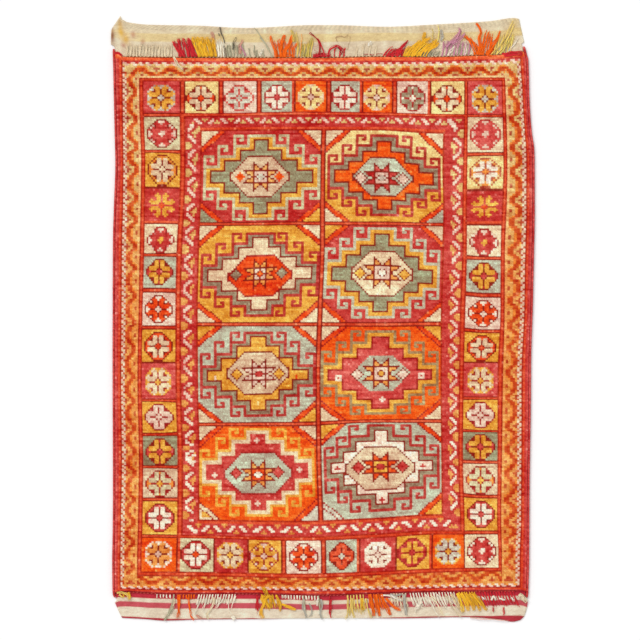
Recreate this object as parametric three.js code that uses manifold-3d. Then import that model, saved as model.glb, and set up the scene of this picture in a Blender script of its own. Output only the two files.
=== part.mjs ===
// A Bergama rug lying flat: knotted pile between two flat-woven ends, wrapped sides and long wool locks.
// Millimetres, +Z up, +Y towards the plain cream end, underside on z = 0.
import * as THREE from "three";
import Module from "manifold-3d";

const wasm = await Module();
wasm.setup();

// Heights above the floor
const PILE_HEIGHT = 9.4;
const PILE_LUMPS = 0.35;
const KILIM_HEIGHT = 2.8;
const HEM_HEIGHT = 3.2;
const CURL_HEIGHT = 4.6;

// Widths of the rounded rims, the hem and the pile's leaning end wall
const PILE_ROUNDING = 2.5;
const PILE_SHOULDER = 2.2;
const KILIM_ROUNDING = 1.6;
const KILIM_SHOULDER = 0.9;
const HEM_WIDTH = 12;
const WALL_LEAN = 0.8;

// The wrapped sides
const SELVEDGE_WIDTH = 6.4;
const SELVEDGE_HEIGHT = 8.2;
const SELVEDGE_GAP = 0.8;
const SELVEDGE_PAST_PILE = 14;
const NOTCH_START = 21;
const NOTCH_END = 24;

// The locks and the strips that they are knotted to
const STRIP_GAP = 1.0;
const STRIP_WIDTH = 3;
const STRIP_BASE = 3.2;
const STRIP_TOP = 7.4;
const LOCK_BASE = 3.6;
const LAYER_RISE = 2.5;
const LOCK_HEIGHT = 2.1;
const LOCK_WIDTH = 5.2;
const LOCK_STEPS = 4;

// How finely the rug is divided across and along
const COLUMNS = 20;
const PILE_ROWS = 30;

// The long edges, from the striped end up, with the wrapping
const LEFT_EDGE = [
  { y: -755, x: -507 },
  { y: -730, x: -519 },
  { y: -712, x: -526 },
  { y: -690, x: -531 },
  { y: -609, x: -532 },
  { y: -559, x: -531 },
  { y: -432, x: -530 },
  { y: -104, x: -531 },
  { y: 199, x: -530 },
  { y: 300, x: -527 },
  { y: 388, x: -524 },
  { y: 477, x: -526 },
  { y: 653, x: -530 },
  { y: 679, x: -531 },
  { y: 694, x: -535 },
  { y: 727, x: -534 },
  { y: 748, x: -522 },
  { y: 764, x: -511 },
];
const RIGHT_EDGE = [
  { y: -761, x: 498 },
  { y: -749, x: 509 },
  { y: -719, x: 517 },
  { y: -690, x: 519 },
  { y: -609, x: 521 },
  { y: -432, x: 522 },
  { y: -230, x: 525 },
  { y: -104, x: 526 },
  { y: 22, x: 530 },
  { y: 148, x: 533 },
  { y: 262, x: 535 },
  { y: 388, x: 535 },
  { y: 426, x: 534 },
  { y: 477, x: 527 },
  { y: 552, x: 522 },
  { y: 653, x: 519 },
  { y: 668, x: 515 },
  { y: 722, x: 503 },
  { y: 757, x: 495 },
];

// The lines that run across: the cream end's hem, the two ends of the pile and the striped end's rim
const HEM_LINE = [
  { x: -511, y: 764 },
  { x: -495, y: 749 },
  { x: -434, y: 742 },
  { x: -323, y: 740 },
  { x: -192, y: 734 },
  { x: -26, y: 741 },
  { x: 30, y: 741 },
  { x: 159, y: 737 },
  { x: 288, y: 743 },
  { x: 419, y: 751 },
  { x: 482, y: 759 },
  { x: 495, y: 757 },
];
const PILE_TOP_LINE = [
  { x: -530, y: 668 },
  { x: -517, y: 667 },
  { x: -503, y: 660 },
  { x: -386, y: 658 },
  { x: -192, y: 657 },
  { x: -26, y: 657 },
  { x: 159, y: 660 },
  { x: 271, y: 659 },
  { x: 363, y: 662 },
  { x: 460, y: 666 },
  { x: 478, y: 672 },
  { x: 515, y: 674 },
];
const PILE_BOTTOM_LINE = [
  { x: -530, y: -694 },
  { x: -512, y: -687 },
  { x: -378, y: -693 },
  { x: -194, y: -692 },
  { x: -7, y: -696 },
  { x: 144, y: -691 },
  { x: 296, y: -687 },
  { x: 498, y: -685 },
  { x: 518, y: -690 },
];
const STRIPED_RIM_LINE = [
  { x: -507, y: -755 },
  { x: -449, y: -758 },
  { x: -399, y: -762 },
  { x: -310, y: -759 },
  { x: -194, y: -758 },
  { x: 43, y: -756 },
  { x: 195, y: -756 },
  { x: 363, y: -753 },
  { x: 447, y: -759 },
  { x: 478, y: -765 },
  { x: 498, y: -761 },
];

// Locks on the cream end: roots from and to across, how many, how far out and how far aside they lie
const TOP_LOCKS = [
  { from: -497, to: -378, count: 15, reach: 38, lean: 0, layer: 0, colour: "cream" },
  { from: -366, to: -318, count: 7, reach: 44, lean: -8, layer: 0, colour: "crimson" },
  { from: -314, to: -268, count: 7, reach: 46, lean: -8, layer: 0, colour: "gold" },
  { from: -266, to: -246, count: 3, reach: 48, lean: -4, layer: 0, colour: "white" },
  { from: -244, to: -196, count: 6, reach: 42, lean: -3, layer: 0, colour: "sage" },
  { from: -190, to: -140, count: 3, reach: 26, lean: -6, layer: 0, colour: "sage" },
  { from: -132, to: -126, count: 1, reach: 66, lean: -40, layer: 1, colour: "sage" },
  { from: -119, to: -72, count: 6, reach: 56, lean: -8, layer: 0, colour: "orange" },
  { from: -69, to: -26, count: 5, reach: 52, lean: 6, layer: 0, colour: "yellow" },
  { from: -22, to: 18, count: 5, reach: 13, lean: 0, layer: 0, colour: "crimson" },
  { from: 2, to: 8, count: 1, reach: 58, lean: -22, layer: 1, colour: "crimson" },
  { from: 22, to: 60, count: 3, reach: 26, lean: 5, layer: 0, colour: "crimson" },
  { from: 76, to: 140, count: 4, reach: 32, lean: 4, layer: 0, colour: "cream" },
  { from: 150, to: 202, count: 7, reach: 26, lean: 22, layer: 0, colour: "crimson" },
  { from: 206, to: 264, count: 8, reach: 44, lean: 42, layer: 1, colour: "gold" },
  { from: 240, to: 292, count: 5, reach: 18, lean: 10, layer: 0, colour: "sage" },
  { from: 296, to: 372, count: 8, reach: 42, lean: 8, layer: 0, colour: "mauve" },
  { from: 380, to: 392, count: 2, reach: 60, lean: -26, layer: 1, colour: "orange" },
  { from: 396, to: 422, count: 4, reach: 62, lean: 14, layer: 0, colour: "orange" },
  { from: 428, to: 478, count: 6, reach: 58, lean: 12, layer: 0, colour: "yellow" },
];

// Locks on the striped end
const BOTTOM_LOCKS = [
  { from: -516, to: -486, count: 4, reach: 14, lean: 4, layer: 0, colour: "gold" },
  { from: -422, to: -382, count: 5, reach: 12, lean: 0, layer: 0, colour: "white" },
  { from: -379, to: -373, count: 1, reach: 60, lean: -18, layer: 1, colour: "sage" },
  { from: -369, to: -322, count: 7, reach: 14, lean: 0, layer: 0, colour: "orange" },
  { from: -364, to: -360, count: 1, reach: 60, lean: 0, layer: 1, colour: "orange" },
  { from: -340, to: -336, count: 1, reach: 60, lean: 3, layer: 1, colour: "orange" },
  { from: -316, to: -218, count: 14, reach: 30, lean: -8, layer: 0, colour: "white" },
  { from: -169, to: -163, count: 1, reach: 46, lean: -2, layer: 0, colour: "crimson" },
  { from: -159, to: -112, count: 5, reach: 44, lean: 10, layer: 0, colour: "gold" },
  { from: -106, to: -10, count: 13, reach: 13, lean: 0, layer: 0, colour: "white" },
  { from: -52, to: -46, count: 1, reach: 58, lean: 6, layer: 1, colour: "sage" },
  { from: -14, to: -8, count: 1, reach: 58, lean: 8, layer: 1, colour: "sage" },
  { from: 14, to: 20, count: 1, reach: 60, lean: 2, layer: 0, colour: "crimson" },
  { from: 58, to: 106, count: 6, reach: 56, lean: 6, layer: 0, colour: "yellow" },
  { from: 112, to: 150, count: 6, reach: 52, lean: 12, layer: 0, colour: "orange" },
  { from: 168, to: 212, count: 6, reach: 42, lean: 6, layer: 0, colour: "cream" },
  { from: 216, to: 334, count: 16, reach: 40, lean: 16, layer: 0, colour: "white" },
  { from: 340, to: 386, count: 7, reach: 44, lean: 26, layer: 0, colour: "gold" },
  { from: 390, to: 484, count: 13, reach: 44, lean: 18, layer: 0, colour: "crimson" },
];

// A smooth curve through a table's rows, held level past its ends
function along(table, key, value, t) {
  const last = table.length - 1;
  if (t <= table[0][key]) return table[0][value];
  if (t >= table[last][key]) return table[last][value];
  let i = 0;
  while (table[i + 1][key] < t) i += 1;
  const slope = (a, b) => (table[b][value] - table[a][value]) / (table[b][key] - table[a][key]);
  const tangent = (k) => {
    if (k === 0 || k === last) return 0;
    const before = slope(k - 1, k);
    const after = slope(k, k + 1);
    return before * after <= 0 ? 0 : (2 * before * after) / (before + after);
  };
  const span = table[i + 1][key] - table[i][key];
  const u = (t - table[i][key]) / span;
  const rise = u * u * (3 - 2 * u);
  const bend = u * (1 - u) * (1 - u) * tangent(i) - u * u * (1 - u) * tangent(i + 1);
  return table[i][value] + (table[i + 1][value] - table[i][value]) * rise + bend * span;
}

const leftEdge = (y) => along(LEFT_EDGE, "y", "x", y);
const rightEdge = (y) => along(RIGHT_EDGE, "y", "x", y);
const lineAt = (line, x) => along(line, "x", "y", x);
const mix = (a, b, t) => a + (b - a) * t;

// A repeatable unevenness between -1 and 1
const uneven = (n) => Math.sin(n * 12.9898) * Math.cos(n * 4.1414 + 1.3);

function pileLumps(x, y) {
  const broad = Math.sin(x / 130 + 0.4) * Math.sin(y / 170 - 0.9);
  const fine = Math.sin(x / 41 + y / 67) * 0.6;
  return PILE_LUMPS * (broad + fine);
}

// The cream end's left side is rolled up along its edge
function curl(x, y) {
  const along_edge = Math.exp(-(((y - 710) / 20) ** 4));
  const across = Math.exp(-(((x - leftEdge(y) - 6) / 7) ** 2));
  return CURL_HEIGHT * along_edge * across;
}

// Rows of the rug from the striped rim to the cream hem
function rugRows() {
  const rows = [];
  const kilim = (line, pile, side, plain) => {
    const reach = (x) => lineAt(line, x) - lineAt(pile, x);
    const end = (x, d) => lineAt(line, x) - side * d;
    const near = (x, d) => lineAt(pile, x) + side * d;
    const list = [
      { y: (x) => end(x, 0), z: plain - KILIM_SHOULDER, inset: 0 },
      { y: (x) => end(x, KILIM_ROUNDING), z: plain, inset: 0 },
      { y: (x) => end(x, HEM_WIDTH), z: plain, inset: 0 },
      { y: (x) => end(x, HEM_WIDTH + 1.5), z: KILIM_HEIGHT, inset: 0 },
      { y: (x) => near(x, 0) + reach(x) * 0.62, z: KILIM_HEIGHT, inset: 0 },
      { y: (x) => near(x, 0) + reach(x) * 0.42, z: KILIM_HEIGHT, inset: 0 },
      { y: (x) => near(x, NOTCH_END), z: KILIM_HEIGHT, inset: 0 },
      { y: (x) => near(x, NOTCH_START), z: KILIM_HEIGHT, inset: 1 },
      { y: (x) => near(x, 0), z: KILIM_HEIGHT, inset: 1, foot: side },
      { y: (x) => near(x, -WALL_LEAN), z: PILE_HEIGHT - PILE_SHOULDER, inset: 1, pile: true },
      { y: (x) => near(x, -PILE_ROUNDING), z: PILE_HEIGHT, inset: 1, pile: true },
    ];
    return side < 0 ? list : list.reverse();
  };
  rows.push(...kilim(STRIPED_RIM_LINE, PILE_BOTTOM_LINE, -1, HEM_HEIGHT));
  for (let i = 1; i < PILE_ROWS; i += 1) {
    const t = i / PILE_ROWS;
    const y = (x) => mix(lineAt(PILE_BOTTOM_LINE, x), lineAt(PILE_TOP_LINE, x), t);
    rows.push({ y, z: PILE_HEIGHT, inset: 1, pile: true });
  }
  rows.push(...kilim(HEM_LINE, PILE_TOP_LINE, 1, HEM_HEIGHT));
  return rows;
}

// Where a row crosses a column; s runs from 0 at the left side to 1 at the right
function rugPoint(row, s, rim) {
  const inset = row.inset * (SELVEDGE_WIDTH + SELVEDGE_GAP);
  let x = mix(-520, 520, s);
  let y = 0;
  for (let pass = 0; pass < 4; pass += 1) {
    y = row.y(x);
    x = mix(leftEdge(y) + inset, rightEdge(y) - inset, s);
  }
  let z = row.z;
  if (rim) z -= row.pile ? PILE_SHOULDER : KILIM_SHOULDER;
  if (row.pile && !rim) z += pileLumps(x, y);
  if (row.inset === 0 && y > 0) z += curl(x, y);
  return new THREE.Vector3(x, y, Math.max(z, KILIM_SHOULDER));
}

function columnPlaces() {
  const width = 1050;
  const near = [0, PILE_ROUNDING / width, 12 / width, 30 / width];
  const places = [...near];
  for (let i = 1; i < COLUMNS; i += 1) places.push(mix(near[3], 1 - near[3], i / COLUMNS));
  for (const s of near.toReversed()) places.push(1 - s);
  return places;
}

const ROWS = rugRows();
const PLACES = columnPlaces();

// The foot of the pile's wall at one end, as the points that the rug has there
function pileFoot(side) {
  const row = ROWS.find((r) => r.foot === side);
  return PLACES.map((s) => rugPoint(row, s, false));
}

const TOP_FOOT = pileFoot(1);
const BOTTOM_FOOT = pileFoot(-1);

// The height of a row of points at one place across
function footAt(foot, x) {
  let i = 0;
  while (i + 2 < foot.length && foot[i + 1].x < x) i += 1;
  const t = (x - foot[i].x) / (foot[i + 1].x - foot[i].x);
  return mix(foot[i].y, foot[i + 1].y, t);
}

function geometryOf(points, triangles) {
  const geometry = new THREE.BufferGeometry();
  const flat = points.flatMap((p) => [p.x, p.y, p.z]);
  geometry.setAttribute("position", new THREE.Float32BufferAttribute(flat, 3));
  geometry.setIndex(triangles.flat());
  geometry.computeVertexNormals();
  return geometry;
}

function rugGeometry() {
  const rows = ROWS;
  const points = [];
  const triangles = [];
  const across = PLACES.length;
  const at = (r, c) => r * across + c;
  rows.forEach((row) => {
    PLACES.forEach((s, c) => {
      points.push(rugPoint(row, s, c === 0 || c === across - 1));
    });
  });
  for (let r = 0; r + 1 < rows.length; r += 1) {
    for (let c = 0; c + 1 < across; c += 1) {
      triangles.push([at(r, c), at(r, c + 1), at(r + 1, c + 1)]);
      triangles.push([at(r, c), at(r + 1, c + 1), at(r + 1, c)]);
    }
  }
  const rim = [];
  for (let c = 0; c < across - 1; c += 1) rim.push(at(0, c));
  for (let r = 0; r < rows.length - 1; r += 1) rim.push(at(r, across - 1));
  for (let c = across - 1; c > 0; c -= 1) rim.push(at(rows.length - 1, c));
  for (let r = rows.length - 1; r > 0; r -= 1) rim.push(at(r, 0));
  const first = points.length;
  rim.forEach((i) => points.push(new THREE.Vector3(points[i].x, points[i].y, 0)));
  rim.forEach((top, i) => {
    const next = (i + 1) % rim.length;
    triangles.push([top, first + i, first + next]);
    triangles.push([top, first + next, rim[next]]);
  });
  const contour = rim.map((i) => new THREE.Vector2(points[i].x, points[i].y));
  for (const [a, b, c] of THREE.ShapeUtils.triangulateShape(contour, [])) {
    triangles.push([first + a, first + c, first + b]);
  }
  return geometryOf(points, triangles);
}

// A closed tube through rings of points, each ring counter-clockwise as seen from the end
function tubeGeometry(rings) {
  const sides = rings[0].length;
  const points = rings.flat();
  const triangles = [];
  for (let r = 0; r + 1 < rings.length; r += 1) {
    for (let k = 0; k < sides; k += 1) {
      const a = r * sides + k;
      const b = r * sides + ((k + 1) % sides);
      triangles.push([a, b, b + sides]);
      triangles.push([a, b + sides, a + sides]);
    }
  }
  const end = (rings.length - 1) * sides;
  for (let k = 1; k + 1 < sides; k += 1) {
    triangles.push([0, k + 1, k]);
    triangles.push([end, end + k, end + k + 1]);
  }
  return geometryOf(points, triangles);
}

// The wrapping of one side: flat towards the rug and on the floor, round outside
function selvedgeGeometry(side) {
  const inside = ROWS.filter((row) => row.inset === 1);
  const line = inside.map((row) => rugPoint(row, side < 0 ? 0 : 1, true));
  const cut = SELVEDGE_PAST_PILE / NOTCH_START;
  const last = line.length - 1;
  const foot = [line[1].clone(), line[last - 1].clone()];
  line[0] = foot[0].clone().lerp(line[0], cut);
  line[last] = foot[1].clone().lerp(line[last], cut);
  line.splice(1, 0, line[0].clone().lerp(foot[0], 0.35));
  line.splice(last + 1, 0, line[last + 1].clone().lerp(foot[1], 0.35));
  const profile = [
    { across: 0, up: 0 },
    { across: 0.72, up: 0 },
    { across: 1, up: 0.3 },
    { across: 0.94, up: 0.66 },
    { across: 0.66, up: 0.94 },
    { across: 0.28, up: 1 },
    { across: 0, up: 0.82 },
  ];
  const rings = line.map((p, i) => {
    const tip = i === 0 || i === line.length - 1;
    const height = SELVEDGE_HEIGHT * (tip ? 0.6 : 1) * (1 + 0.04 * uneven(i + side));
    const width = SELVEDGE_WIDTH * (tip ? 0.75 : 1) * (0.98 + 0.02 * uneven(i * 1.7 - side));
    const inner = p.x + side * SELVEDGE_GAP;
    return profile.map((q) => new THREE.Vector3(inner + side * q.across * width, p.y, q.up * height));
  });
  if (side > 0) rings.forEach((ring) => ring.reverse());
  return tubeGeometry(rings);
}

function solidOf(geometry) {
  return new wasm.Manifold(
    new wasm.Mesh({
      numProp: 3,
      vertProperties: geometry.getAttribute("position").array,
      triVerts: new Uint32Array(geometry.getIndex().array),
    }),
  );
}

function geometryFrom(solid) {
  const mesh = solid.getMesh();
  const geometry = new THREE.BufferGeometry();
  const places = new Float32Array(mesh.numVert * 3);
  for (let i = 0; i < mesh.numVert; i += 1) {
    for (let k = 0; k < 3; k += 1) places[i * 3 + k] = mesh.vertProperties[i * mesh.numProp + k];
  }
  geometry.setAttribute("position", new THREE.BufferAttribute(places, 3));
  geometry.setIndex([...mesh.triVerts]);
  geometry.computeVertexNormals();
  return geometry;
}

// The strip beside the pile's foot; outward is +1 on the cream end and -1 on the striped one
function stripGeometry(foot, outward, from, to) {
  const inside = foot.map((p) => p.x).filter((x) => x > from + 5 && x < to - 5);
  const rings = [from, ...inside, to].map((x) => {
    const near = footAt(foot, x) + outward * STRIP_GAP;
    const far = near + outward * STRIP_WIDTH;
    const ring = [
      new THREE.Vector3(x, near, STRIP_BASE),
      new THREE.Vector3(x, far, STRIP_BASE),
      new THREE.Vector3(x, far, STRIP_TOP - 1),
      new THREE.Vector3(x, near, STRIP_TOP),
    ];
    return outward > 0 ? ring : ring.reverse();
  });
  return tubeGeometry(rings);
}

// One lock with three sides, flat underneath, lying out from the strip
function lockGeometry(group, index, foot, outward) {
  const pitch = (group.to - group.from) / group.count;
  const seed = group.from * 0.37 + index * 2.11;
  const root = group.from + pitch * (index + 0.5 + 0.05 * uneven(seed));
  const reach = group.reach * (0.9 + 0.13 * uneven(seed + 5));
  const base = LOCK_BASE + group.layer * LAYER_RISE;
  const wide = group.count === 1 ? 3.6 : Math.min(LOCK_WIDTH, pitch * 0.62);
  const start = footAt(foot, root) + outward * (STRIP_GAP + STRIP_WIDTH * 0.5);
  const rings = [];
  for (let i = 0; i <= LOCK_STEPS; i += 1) {
    const u = i / LOCK_STEPS;
    const out = (reach + 1.5) * u;
    const sway = Math.sin(out / 11 + group.from) * pitch * 0.1 * u;
    const x = root + group.lean * (out / group.reach) ** 1.4 + sway;
    const y = start + outward * out;
    const half = (wide / 2) * (1 - 0.5 * u);
    const high = LOCK_HEIGHT * (1 - 0.55 * u);
    const ring = [
      new THREE.Vector3(x - half, y, base),
      new THREE.Vector3(x, y, base + high),
      new THREE.Vector3(x + half, y, base),
    ];
    rings.push(outward > 0 ? ring : ring.reverse());
  }
  return tubeGeometry(rings);
}

function locksGeometry(groups, foot, outward, from, to) {
  let solid = solidOf(stripGeometry(foot, outward, from, to));
  for (const group of groups) {
    for (let i = 0; i < group.count; i += 1) {
      solid = solid.add(solidOf(lockGeometry(group, i, foot, outward)));
    }
  }
  return geometryFrom(solid);
}

function piece(name, geometry, colour, roughness) {
  const material = new THREE.MeshStandardMaterial({ color: colour, roughness, metalness: 0 });
  const mesh = new THREE.Mesh(geometry, material);
  mesh.name = name;
  return mesh;
}

const rug = new THREE.Group();
rug.add(piece("rug", rugGeometry(), 0xb5342f, 0.95));
rug.add(piece("left_selvedge", selvedgeGeometry(-1), 0xb0525c, 0.9));
rug.add(piece("right_selvedge", selvedgeGeometry(1), 0xb0525c, 0.9));
rug.add(piece("top_locks", locksGeometry(TOP_LOCKS, TOP_FOOT, 1, -500, 482), 0xe0c48c, 0.9));
rug.add(piece("bottom_locks", locksGeometry(BOTTOM_LOCKS, BOTTOM_FOOT, -1, -518, 488), 0xe6ccb0, 0.9));

export default rug;
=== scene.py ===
import math

import bpy
import numpy as np
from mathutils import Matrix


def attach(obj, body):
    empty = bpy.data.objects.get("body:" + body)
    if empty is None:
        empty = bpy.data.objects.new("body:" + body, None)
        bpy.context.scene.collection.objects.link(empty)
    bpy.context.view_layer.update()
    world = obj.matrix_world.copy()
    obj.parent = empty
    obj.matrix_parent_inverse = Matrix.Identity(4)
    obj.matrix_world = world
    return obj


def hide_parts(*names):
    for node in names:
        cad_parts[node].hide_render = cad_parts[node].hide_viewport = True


MM = 0.001

# The knotted chart: 209 knots across and 283 rows, row 0 at the cream end
COLS = 209
ROWS = 283
FIELD_LEFT = 43
FIELD_TOP = 41
FIELD_RIGHT = 164
FIELD_BOTTOM = 242
FIELD_MIDDLE = 103
FIELD_BARS = (87, 139, 191)

# The lines around the outer guard's inside and around the inner guard: top, left, bottom and right
OUTER_BORDER = (11, 12, 272, 196)
INNER_BORDER = (30, 32, 252, 176)

# The outer guard's first row and column, and where the inner guard's strokes and triangles lie
GUARD_ROW = 5
GUARD_COL = 6
STROKES_TOP = 34
STROKES_BOTTOM = 244
STROKES_LEFT = 35
STROKES_RIGHT = 167
STROKE_ROWS = (38, 243)
STROKE_COLS = (38, 172)

# The wools' colours as seen, and how fully a knot opens out beside the others where that isn't 1
WOOLS = {
    "crimson": (208, 62, 54), "pink": (220, 82, 74), "wine": (174, 36, 32), "dark": (148, 30, 16),
    "rim": (184, 44, 20), "line": (230, 78, 42), "rust": (210, 74, 26), "flame": (242, 76, 20),
    "orange": (250, 92, 16), "amber": (244, 140, 56), "gold": (240, 168, 64), "straw": (230, 186, 118),
    "yellow": (248, 212, 138), "peach": (248, 182, 104), "cream": (240, 208, 166), "beige": (230, 194, 156),
    "white": (255, 228, 200), "rose": (242, 204, 178), "sage": (222, 201, 156), "moss": (162, 150, 114),
    "taupe": (164, 138, 108), "aqua": (196, 188, 160), "grey": (216, 200, 176), "brown": (190, 84, 58),
    "pale": (246, 190, 130), "coral": (230, 72, 32), "ember": (246, 104, 56), "blush": (255, 206, 182),
    "hook_crimson": (192, 48, 42), "hook_sage": (212, 196, 152), "hook_aqua": (204, 194, 164),
    "hook_taupe": (172, 136, 92), "hook_gold": (240, 166, 62),
}
FULL = {
    "wine": 0.9, "dark": 0.8, "rim": 0.85, "rust": 1.1, "cream": 1.05, "white": 1.1, "rose": 1.05,
    "blush": 1.05, "hook_crimson": 1.5, "hook_sage": 1.4, "hook_aqua": 1.4, "hook_taupe": 1.4,
    "hook_gold": 1.4,
}
INDEX = {name: i for i, name in enumerate(WOOLS)}

# The outer guard's zigzag along the ends, one repeat across and outermost row first
END_ZIGZAG = [
    ".....aaaa....",
    "bb..arrrra..b",
    "b..arrrrrra..",
    ".arrra..arrra",
    "rrra..bb..arr",
    "ccccccccccccc",
]

# The same along the sides, one repeat down and outermost column first
SIDE_ZIGZAG = [
    "rra.bc",
    "rra..c",
    "arr..c",
    ".rra.c",
    "..rrac",
    "b..rrc",
    "bb.rrc",
    "b..rrc",
    "..rrac",
    ".rra.c",
    "arr..c",
    "rra..c",
    "rra.bc",
]
ZIGZAG_WOOLS = {"a": "amber", "r": "rust", "b": "brown", "c": "pale"}

# The guard's corners, outermost row first
TOP_CORNER = (".....a", "....rr", "...rra", "..rra.", ".arr..", ".rra.c")
BOTTOM_CORNER = ("......", ".bbbb.", "..bb..", "......", "......", "......")

# Where the zigzag's repeats fall along the two ends, as columns, and down the two sides, as rows
TOP_ZIGZAG = (
    -6, 7.1, 21.1, 34.7, 47.9, 60.9, 74.4, 87.5, 100.6, 113.1, 125.6, 138.7, 150.7, 162.7, 176.2, 189, 202,
    215,
)
BOTTOM_ZIGZAG = (
    -1, 12.5, 27.9, 41.1, 54.4, 67.2, 80.5, 95.1, 109.4, 122.6, 136.1, 149.3, 162.6, 176.3, 190.1, 203, 216,
)
LEFT_ZIGZAG = (
    0, 12.5, 27.4, 41.4, 55.4, 68.3, 81, 93.7, 106.3, 118.7, 132.8, 147.4, 161.5, 173.5, 187.4, 200.8,
    212.2, 225, 238.1, 250, 262.3, 274,
)
RIGHT_ZIGZAG = (
    0, 13.6, 26.7, 41.5, 55.2, 68.4, 81.7, 94.2, 107.1, 119.2, 132.5, 146.4, 160.2, 172.1, 187.1, 201.4,
    214.6, 226.9, 240.2, 251.7, 262, 273,
)

# The slanting strokes and triangles of the inner guard, one repeat down and its width across
SIDE_STROKES = [
    ".w..g..",
    ".pw.g..",
    "..pw...",
    "...pw..",
    "gg..p..",
    "ggg....",
    "ggg....",
    "gg.....",
    "...pw..",
    "..pw...",
    ".pw..g.",
    ".w..gg.",
    "...ggg.",
]

# The same strokes where they run along the two ends, one repeat across
TOP_STROKES = [
    "wp..ggg..w...",
    ".wp..g..wp.g.",
    "..wp...wp.ggg",
]
BOTTOM_STROKES = [
    "....ggg......",
    "WW...g...WW..",
    ".WW.....WW...",
    "..WW...WW..g.",
    "..........ggg",
]

# The row from which the side strokes are wholly white
THICK_FROM = 186
STROKE_WOOLS = {"w": "blush", "W": "white", "g": "straw", "p": "rose"}

# Where the strokes' repeats begin, as columns along the ends and as rows down the sides
TOP_REPEATS = (
    26.6, 39.1, 51.6, 64.7, 77.6, 90.6, 103.5, 116.3, 128.4, 140.1, 153.4, 166.4, 179,
)
BOTTOM_REPEATS = (
    24, 37.3, 50.2, 63.3, 76.6, 91.1, 105.2, 118.6, 131.3, 144.5, 158, 171.5,
)
LEFT_REPEATS = (
    28, 41.7, 55.7, 69.4, 81.8, 95.2, 108.9, 121.5, 135.1, 149, 162, 174.4, 188, 201.4, 209.1, 222.2, 234.8,
    246.7, 260,
)
RIGHT_REPEATS = (
    21.5, 34.6, 48.5, 62, 74.8, 88.8, 102.2, 116.4, 129.7, 143, 156, 168.7, 181.9, 195.4, 208.6, 222, 235.1,
    247.5, 260,
)

# The square latch hooks, their bar first
HOOK = ("hhhhh", "h...h", "h..hh")
OCTAGON_CUT = (9, 8)
TIP_HIGH = 4
TIP_WIDE = 5
CORNER_WIDE = 9
CORNER_HIGH = 8
CORNER_BANDS = ((0.92, "own"), (1.02, "wine"), (1.31, "flame"), (1.41, "wine"))
LINED_BANDS = ((0.72, "own"), (0.84, "wine"), (1.08, "between"), (1.2, "wine"))

# The eight compartments: first row and rows, first column and columns; the outline's columns to left and
# right and rows above and below for the four steps of the cross; rows from it up and down to the hooks'
# band; the octagon's left, right, top and bottom; the star's two upright and two level lines; the
# diamonds' row and columns
PLACES = (
    "row", "rows", "col", "cols", "left", "right", "top", "bottom", "reach", "octagon", "star",
    "diamonds_at",
)
COMPARTMENT_PLACES = [
    (41, 46, 43, 60, (69, 62, 54, 47), (76, 83, 91, 99), (45, 50, 55, 60), (82, 76, 71, 66), (2, 3),
     (57, 87, 53, 73), (69, 76, 60, 66), (63, 62, 82)),
    (41, 46, 106, 58, (131, 124, 117, 110), (138, 145, 152, 159), (46, 51, 56, 60), (80, 75, 71, 66),
     (3, 3), (119, 149, 54, 73), (130, 137, 61, 67), (64, 123, 144)),
    (90, 49, 43, 60, (69, 62, 54, 47), (77, 83, 91, 99), (96, 101, 106, 111), (132, 127, 122, 117), (2, 3),
     (57, 89, 105, 125), (70, 76, 111, 117), (114, 61, 84)),
    (90, 49, 106, 58, (130, 123, 116, 109), (137, 145, 152, 159), (94, 100, 105, 111),
     (133, 128, 123, 118), (3, 3), (119, 149, 103, 125), (130, 138, 110, 117), (114, 123, 145)),
    (142, 49, 43, 60, (69, 62, 54, 47), (77, 84, 91, 99), (147, 152, 158, 164), (184, 179, 174, 169),
     (2, 3), (57, 89, 155, 176), (70, 77, 163, 169), (166, 62, 84)),
    (142, 49, 106, 58, (130, 123, 116, 109), (138, 145, 152, 159), (147, 153, 158, 164),
     (184, 179, 174, 169), (3, 3), (120, 149, 156, 175), (131, 138, 162, 169), (166, 123, 145)),
    (194, 48, 43, 60, (69, 61, 54, 46), (76, 84, 91, 98), (198, 203, 209, 213), (236, 231, 226, 220),
     (3, 3), (55, 90, 207, 228), (69, 76, 215, 221), (217, 61, 83)),
    (194, 48, 106, 58, (131, 122, 116, 110), (137, 145, 152, 159), (198, 204, 209, 214),
     (235, 230, 225, 219), (3, 3), (117, 150, 207, 228), (130, 137, 214, 220), (217, 123, 144)),
]

# Their wools, the four corners among them
FIELD_WOOLS = (
    "ground", "hooks", "band", "line", "cross", "rim", "octagon", "tips", "heart", "middle", "diamonds",
    "halo", "corners",
)
COMPARTMENT_WOOLS = [
    ("crimson", "hook_sage", "gold", "dark", "moss", "dark", "beige", "peach", "rose", "grey", "orange",
     "", ("cream", "cream", "moss", "gold")),
    ("yellow", "hook_crimson", "taupe", "dark", "orange", "dark", "aqua", "crimson", "rose", "grey",
     "rose", "dark", ("cream", "cream", "cream", "aqua")),
    ("gold", "hook_crimson", "taupe", "dark", "cream", "wine", "flame", "peach", "rose", "orange", "taupe",
     "dark", ("cream", "cream", "cream", "cream")),
    ("crimson", "hook_aqua", "gold", "dark", "moss", "dark", "cream", "peach", "rose", "white", "gold",
     "dark", ("gold", "cream", "cream", "cream")),
    ("aqua", "hook_crimson", "taupe", "dark", "gold", "dark", "beige", "rose", "rose", "crimson", "gold",
     "dark", ("gold", "cream", "cream", "gold")),
    ("orange", "hook_taupe", "gold", "wine", "pink", "pink", "aqua", "peach", "rose", "gold", "rose",
     "dark", ("cream", "gold", "cream", "cream")),
    ("orange", "hook_gold", "cream", "crimson", "crimson", "wine", "aqua", "peach", "flame", "white",
     "crimson", "dark", ("cream", "cream", "gold", "grey")),
    ("aqua", "hook_crimson", "taupe", "dark", "white", "dark", "beige", "flame", "gold", "crimson",
     "crimson", "dark", ("gold", "cream", "grey", "gold")),
]

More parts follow.
